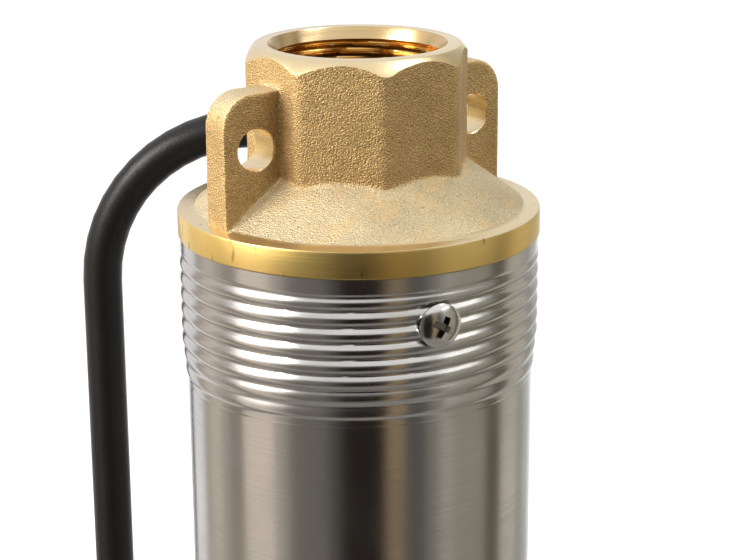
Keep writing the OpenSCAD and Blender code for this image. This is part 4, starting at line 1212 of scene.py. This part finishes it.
    def bore_cutter(self) -> Piece:
        """Tool that bores the water way from the mouth to the valve chamber.

        Returns:
            The tool.
        """
        top = DATUM.rim + self.height
        high = top + self.tool_spare
        step = top - self.mouth_h
        low = step - self.pipe_len
        bottom = DATUM.rim - self.tool_spare
        hidden = self.core_r + self.pipe.depth + self.sleeve_seat
        profile = [
            (0.0, high), (self.mouth_r + self.mouth_flare, high), (self.mouth_r + 3 * HAIR, top + HAIR),
            (self.mouth_r, top - 3 * HAIR), (self.mouth_low_r, step), (hidden, step), (hidden, low),
            (self.throat_r, low), (self.throat_r, DATUM.rim + self.throat_foot),
            (self.chamber_r, DATUM.rim + self.chamber_top), (self.chamber_r, bottom), (0.0, bottom),
        ]
        # The bore's faces take the darker, paler brass: painted shade inside the mouth and painted sheen on
        # the lead-in
        return Finishes.mouth_shade_and_sheen_brass.coat(Bench.lathe("bore_cutter", profile, 160))

    def eye_cutter(self, label: str, angle: float) -> Piece:
        """Drill for one lug eye, with broken edges.

        Args:
            label: The tool's name.
            angle: Bearing of the lug.

        Returns:
            The drill.
        """
        half, past = self.lug_t / 2, self.lug_t / 2 + 10 * HAIR
        r, wide = self.eye_r, self.eye_r + self.eye_edge
        rising = [(0.0, past), (wide, past), (wide, half - HAIR), (r, half - 3 * HAIR)]
        profile = [(out, -z) for out, z in rising] + rising[::-1]
        obj = Bench.lathe(label, profile, 64)
        Bench.lay(obj, (math.pi / 2, 0, 0), (self.eye_reach, 0, self.eye_h))
        return Finishes.turned_brass.coat(Bench.turn(obj, angle, DATUM.rim))

    def body(self) -> Piece:
        """Cast body: the shapes grown together, softened, then machined.

        Returns:
            The casting.
        """
        sides = {"left": DATUM.lug_angle, "right": DATUM.lug_angle + math.pi}
        lugs = [self.lug(f"head_lug_{side}", angle) for side, angle in sides.items()]
        obj = Bench.join("head_casting", self.boss(), self.dome(), *lugs)
        Bench.modify(obj, "REMESH", mode="VOXEL", voxel_size=self.voxel, use_smooth_shade=True)
        Bench.modify(obj, "SMOOTH", factor=0.5, iterations=7)
        clouds = bpy.data.textures.new("mould waves", "CLOUDS")
        clouds.noise_scale = self.mould_wave
        Bench.modify(obj, "DISPLACE", texture=clouds, texture_coords="LOCAL", strength=self.mould_depth,
                     mid_level=0.5)
        obj.data.materials.clear()
        Finishes.sand_brass.coat(obj)
        drills = [self.eye_cutter(f"eye_drill_{side}", angle) for side, angle in sides.items()]
        for tool in (self.mouth_cutter(), self.bore_cutter(), *drills):
            Bench.carve(obj, tool)
        Bench.smooth(obj, 32.0)
        return obj

    def rim(self) -> Piece:
        """Turned rim and spigot under the casting.

        Returns:
            The rim.
        """
        z, top = DATUM.rim, DATUM.rim + DATUM.rim_h
        low, step = z - self.spigot_len, z - self.spigot_len + self.spigot_step
        r, edge, slack, lip = DATUM.rim_r, self.rim_edge, self.rim_break, self.dome_lip
        recess = top - self.rim_recess
        profile = [
            (self.spigot_in, low), (self.spigot_r - self.spigot_edge, low),
            (self.spigot_r, low + self.spigot_edge), (self.spigot_r, z),
            (r - slack, z), (r, z + slack), (r, top - edge),
            (r - edge * 0.3, top - edge * 0.3), (r - edge, top),
            (self.dome_r + lip, top), (self.dome_r, top + 2 * HAIR), (self.dome_r - lip, top + 5 * HAIR),
            (self.dome_r - 2 * lip, recess), (self.chamber_r, recess),
            (self.chamber_r, step), (self.spigot_in, step), (self.spigot_in, low),
        ]
        obj = Bench.lathe("head_rim", profile, 256)
        Finishes.rim_brass.coat(obj)
        Bench.smooth(obj, 25.0)
        return obj

    def pipe_radius(self, old: float, angle: float, z: float) -> float:
        """Radius of the pipe thread at a point of its sleeve.

        Args:
            old: Radius of the plain sleeve.
            angle: Bearing round the shaft.
            z: Height.

        Returns:
            The new radius, wider in the grooves and at the lead-in.
        """
        if old > self.core_r + 2 * HAIR:
            return old
        top, low = self.pipe.start, self.pipe.start - self.pipe_len
        share = self.pipe.turns(angle, z) % 1.0
        rise = self.pipe_flank * (2 * abs(share - 0.5)) - self.pipe_crest
        groove = self.pipe.depth * min(1.0, max(0.0, rise))
        lead = self.pipe.depth * (1 - smooth_step(top - z, 0.0, self.pipe_lead))
        return self.core_r + max(groove * smooth_step(z - low, 0.0, self.pipe_run_out), lead)

    def pipe_thread(self) -> Piece:
        """Female pipe thread as a sleeve with helical turns.

        Returns:
            The sleeve.
        """
        top = self.pipe.start
        low = top - self.pipe_len
        outer = self.core_r + self.pipe.depth + self.sleeve_wall
        row = (self.pipe_len - 3 * HAIR) / self.pipe_rows
        profile = [(outer, top - HAIR), (self.core_r + self.pipe.depth, top - HAIR)]
        profile += [(self.core_r, top - 2 * HAIR - row * k) for k in range(self.pipe_rows + 1)]
        profile += [(outer, low), (outer, top - HAIR)]
        obj = Bench.lathe("pipe_thread", profile, 180)
        Bench.ripple(obj, self.pipe_radius)
        # The thread takes the darker brass: painted shade deep in the mouth
        Finishes.bore_shade_brass.coat(obj)
        Bench.smooth(obj, 40.0)
        return obj

    def build(self) -> None:
        """Make the head's three pieces."""
        Bench.fit(self.body(), Slot.CAST_BRASS, "discharge_head", "discharge_boss", "discharge_lugs")
        Bench.fit(self.rim(), Slot.CAST_BRASS)
        Bench.fit(self.pipe_thread(), Slot.CAST_BRASS)


@dataclass
class PumpCasing:
    """Steel tube with a rolled round thread at each end."""

    wall: float = 0.0015
    inset: float = 0.0057
    thread: Thread = Thread(0.0043, 0.0010, DATUM.rim - inset)
    collar: float = 0.0034
    collar_swell: float = 0.72
    lead: float = 0.0024
    turns: float = 8.0
    rise: float = 0.0015
    # Shape of the crests, and where they fade, in turns back from the thread's end
    crest_power: float = 0.6
    fade: float = 0.55
    fade_span: tuple[float, float] = (3.4, 0.9)
    last_span: tuple[float, float] = (0.9, 0.6)
    end_span: tuple[float, float] = (0.26, 0.16)
    ease: float = 0.6
    ease_span: tuple[float, float] = (0.9, 0.3)
    rows: int = 18
    plain_rows: int = 8
    socket_len: float = 0.025
    socket_taper: float = 0.038

    @property
    def top(self) -> float:
        """Height of the tube's upper edge."""
        return DATUM.rim - HAIR

    @property
    def low(self) -> float:
        """Height of the tube's lower edge."""
        return DATUM.casing_low + HAIR

    def past(self, turn: float, span: tuple[float, float]) -> float:
        """Ease from 0 to 1 over a span of turns that is counted back from the thread's end."""
        return smooth_step(turn, self.turns - span[0], self.turns - span[1])

    def swell(self, turn: float, deep: float) -> float:
        """How far the tube stands out at a point of the thread.

        Args:
            turn: Turns along the thread from its first crest.
            deep: Distance from the tube's edge.

        Returns:
            Distance outside the plain tube.
        """
        share = turn - math.floor(turn)
        wave = (0.5 + 0.5 * math.cos(math.tau * share)) ** self.crest_power
        lead = smooth_step(deep, self.collar, self.collar + self.lead)
        fade = 1.0 - self.fade * self.past(turn, self.fade_span)
        last = 1.0 - self.past(turn, self.last_span)
        end = 1.0 - self.past(turn, self.end_span)
        ease = 1.0 - self.ease * self.past(turn, self.ease_span)
        crest = lead * wave * last + (1 - lead) * self.collar_swell
        return ((self.rise - self.thread.depth) * ease + self.thread.depth * crest) * fade * end

    def rolled_radius(self, old: float, angle: float, z: float) -> float:
        """Radius of the tube at a point, with the threads of both ends.

        Args:
            old: Radius of the plain tube or of its bore.
            angle: Bearing round the shaft, cut open behind the guard.
            z: Height.

        Returns:
            The new radius.
        """
        if old < DATUM.casing_r - 4 * HAIR:
            return old
        if angle > DATUM.guard_angle:
            angle -= math.tau
        if z > (self.top + self.low) / 2:
            return old + self.swell(self.thread.turns(angle, z), self.top - z)
        up = z - self.low
        return old + self.swell((up - self.inset) / self.thread.pitch - angle / math.tau, up)

    def build(self) -> None:
        """Turn the tube, then roll the threads into both ends."""
        top, low = self.top, self.low
        length = self.collar + (self.turns + 1.0) * self.thread.pitch
        count = int(length / self.thread.pitch * self.rows)
        zone = [length * k / count for k in range(count + 1)]
        plain = (top - low - 2 * length) / self.plain_rows
        r, inner = DATUM.casing_r, DATUM.casing_r - self.wall
        wide = DATUM.crest_r - self.thread.depth - self.wall
        outer = [(r, top - d) for d in zone]
        outer += [(r, top - length - plain * k) for k in range(1, self.plain_rows)]
        outer += [(r, low + d) for d in reversed(zone)]
        bore = [
            (wide, low), (wide, low + self.socket_len), (inner, low + self.socket_taper),
            (inner, top - self.socket_taper), (wide, top - self.socket_len), (wide, top),
        ]
        obj = Bench.lathe("casing_tube", outer + bore + outer[:1], 176)
        Bench.ripple(obj, self.rolled_radius)
        Finishes.rolled_steel.coat(obj)
        Bench.smooth(obj, 50.0)
        Bench.fit(obj, Slot.ROLLED_STEEL, "pump_casing")


@dataclass
class CrossScrew:
    """Pan head screw with a cross recess, pointing at the shaft."""

    head_r: float = 0.0059
    head_h: float = 0.0026
    shank_r: float = 0.003
    shank: float = 0.008
    recess_r: float = 0.0036
    recess_w: float = 0.0018
    tilt: float = 1.08
    # Shares of the head's height and of the recess's reach
    edge_share: float = 0.26
    recess_depth: float = 0.85
    recess_foot: float = 0.45
    point: float = 0.0006
    dome_steps: int = 12

    def build(self, label: str) -> Piece:
        """Turn the screw along Z, cut its recess, and return it at the origin.

        Args:
            label: The screw's name.

        Returns:
            The screw, its seat at zero height and its head up.
        """
        r, h, tip = self.head_r, self.head_h, -self.shank
        edge = h * self.edge_share
        cap = h - edge
        ball = (r * r + cap * cap) / (2 * cap)
        profile = [
            (0.0, tip), (self.shank_r * 0.8, tip), (self.shank_r, tip + self.point), (self.shank_r, 0.0),
            (r * 0.96, 0.0), (r, edge * 0.4), (r, edge * 0.8),
        ]
        for k in range(1, self.dome_steps + 1):
            out = r * (1 - k / self.dome_steps)
            profile.append((out * 0.99, h - ball + math.sqrt(ball * ball - out * out)))
        obj = Bench.lathe(label, profile, 64)
        Finishes.bright_screw.coat(obj)
        foot, wing, over = h - h * self.recess_depth, self.recess_r * self.recess_foot, h + 4 * HAIR
        outline = [(-wing, foot), (wing, foot), (self.recess_r, over), (-self.recess_r, over)]
        for turn in (0.0, math.pi / 2):
            tool = Bench.slab("recess_tool", outline, self.recess_w)
            # The recess faces take the dark steel: painted shade in the recess
            Finishes.screw_recess_shade.coat(tool)
            Bench.carve(obj, Bench.turn(tool, self.tilt + turn))
        Bench.smooth(obj, 35.0)
        return obj

    @staticmethod
    def seat(obj: Piece, angle: float, seat_r: float, z: float) -> Piece:
        """Lay a screw down so that it points at the shaft."""
        Bench.lay(obj, (0, math.pi / 2, 0), (seat_r, 0, 0))
        return Bench.turn(obj, angle, z)


@dataclass
class Screws:
    """Locking screws at both casing joints and the guard's screws."""

    lock_depth: float = 0.0135
    guard_turn: float = math.radians(14.5)
    guard_r: float = DATUM.rim_r + 0.0011
    guard_drop: float = 0.0205
    band_low: float = 0.3715

    def locking(self) -> None:
        """Model the locking screw once and seat one at each joint."""
        first = CrossScrew().build("locking_screw_top")
        second = Bench.copy(first, "locking_screw_low")
        seat_r = DATUM.crest_r + HAIR
        CrossScrew.seat(first, DATUM.lock_angle, seat_r, DATUM.rim - self.lock_depth)
        CrossScrew.seat(second, DATUM.lock_angle, seat_r, DATUM.casing_low + self.lock_depth)
        Bench.fit(first, Slot.BRIGHT_SCREW, "locking_screws")
        Bench.fit(second, Slot.BRIGHT_SCREW)

    def guard(self) -> None:
        """Model the guard's screw once and copy it to both sides of the guard."""
        pattern = CrossScrew(head_r=0.0034, head_h=0.002, shank_r=0.002, shank=0.005, recess_r=0.0019,
                             recess_w=0.0009, tilt=0.2).build("guard_screw_pattern")
        heights = (DATUM.rim - self.guard_drop, self.band_low + DATUM.rim_h / 2)
        for side, hand in ((-1, "right"), (1, "left")):
            for k, z in enumerate(heights):
                one = Bench.copy(pattern, f"guard_screw_{hand}_{k + 1}")
                CrossScrew.seat(one, DATUM.guard_angle + side * self.guard_turn, self.guard_r, z)
                Bench.fit(one, Slot.BRIGHT_SCREW, *(("guard_screws",) if side > 0 and k == 0 else ()))
        bpy.data.objects.remove(pattern)

    def build(self) -> None:
        """Make all the screws in sight."""
        self.locking()
        self.guard()


@dataclass
class ValveSpring:
    """Coil spring over the check valve, pressed together as the valve lifts."""

    coil_r: float = 0.0071
    wire_r: float = 0.0009
    low: float = 0.5704
    high: float = 0.5901
    turns: int = 5
    steps: int = 40
    keep: float = 0.62

    def build(self) -> None:
        """Wind the wire and close its ends."""
        Bench.clear()
        bpy.ops.mesh.primitive_circle_add(vertices=14, radius=self.wire_r,
                                          location=(self.coil_r, 0, self.low),
                                          rotation=(math.pi / 2, 0, 0))
        obj = Bench.name("valve_spring_coil")
        Bench.place()
        Bench.modify(obj, "SCREW", axis="Z", screw_offset=(self.high - self.low) / self.turns,
                     iterations=self.turns, steps=self.steps, use_merge_vertices=False)
        with Bench.editing():
            bpy.ops.mesh.fill_holes(sides=0)
        Bench.heal()
        Finishes.shaft_steel.coat(obj)
        Bench.smooth(obj, 50.0)
        Bench.fit(obj, Slot.SHAFT_STEEL, "valve_spring")
        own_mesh(obj)


@dataclass
class CoreWires:
    """Three sheathed cores at the cable's end, each with a bare copper tip."""

    radius: float = 0.0016
    length: float = 0.040
    bare: float = 0.008
    root: float = 0.002
    edge: float = 0.0002
    spread: float = DATUM.cable_d / 4

    def core(self, label: str, finish: Finish) -> Piece:
        """Turn one core along Z.

        Args:
            label: The core's name.
            finish: The sheath's finish.

        Returns:
            The core, its root at the origin.
        """
        r, cut, edge = self.radius, self.length - self.bare, self.edge
        sleeve = [(0.0, -self.root), (r, -self.root), (r, cut - edge), (r - edge, cut), (0.0, cut)]
        sheath = Bench.lathe(label, sleeve, 32)
        finish.coat(sheath)
        thin, start, tip = r * 0.62, cut - 5 * edge, self.length
        wire = [(0.0, start), (thin, start), (thin, tip - 2 * edge), (thin * 0.7, tip), (0.0, tip)]
        strands = Bench.lathe("core_strands", wire, 24)
        Finishes.copper.coat(strands)
        return Bench.join(label, sheath, strands)

    def build(self, end: Point) -> None:
        """Lay the three cores out of the cable's end.

        Args:
            end: Middle of the cable's cut end.
        """
        finishes = {"brown": Finishes.core_sheath, "blue": Finishes.blue_sheath, "grey": Finishes.grey_sheath}
        for k, (tint, finish) in enumerate(finishes.items()):
            obj = self.core(f"core_wire_{tint}", finish)
            a = math.tau * k / len(finishes) + math.pi / 2
            place = (end[0] + self.spread * math.cos(a), end[1], end[2] + self.spread * math.sin(a))
            Bench.lay(obj, (math.pi / 2, 0, 0), place)
            Bench.smooth(obj, 40.0)
            Bench.fit(obj, Slot.CORE_SHEATH, *(("core_wires",) if k == 0 else ()))


class Wardrobe:
    """Finishes for the CAD nodes that stay in sight."""

    @staticmethod
    def build() -> None:
        """Give every CAD node the finish of its slot."""
        rows = frame["record"]["subparts"]
        for row in rows:
            obj = frame["nodes"][row["node"]]
            material = Finishes.SLOTS[Slot(row["material_slot"])].material()
            if not obj.material_slots:
                obj.data.materials.append(material)
            for slot in obj.material_slots:
                slot.material = material
        LOG.info("dressed %d nodes", len(rows))


def main() -> None:
    """Build the studio, then the pump's pieces in order."""
    logging.basicConfig(level=logging.INFO, format="%(name)s: %(message)s")
    Studio().build()
    cable = FreeCable()
    CoreWires().build(cable.route()[-1])
    cable.build()
    Wardrobe.build()
    DischargeHead().build()
    PumpCasing().build()
    Screws().build()
    ValveSpring().build()


if __name__ == "__main__":
    main()
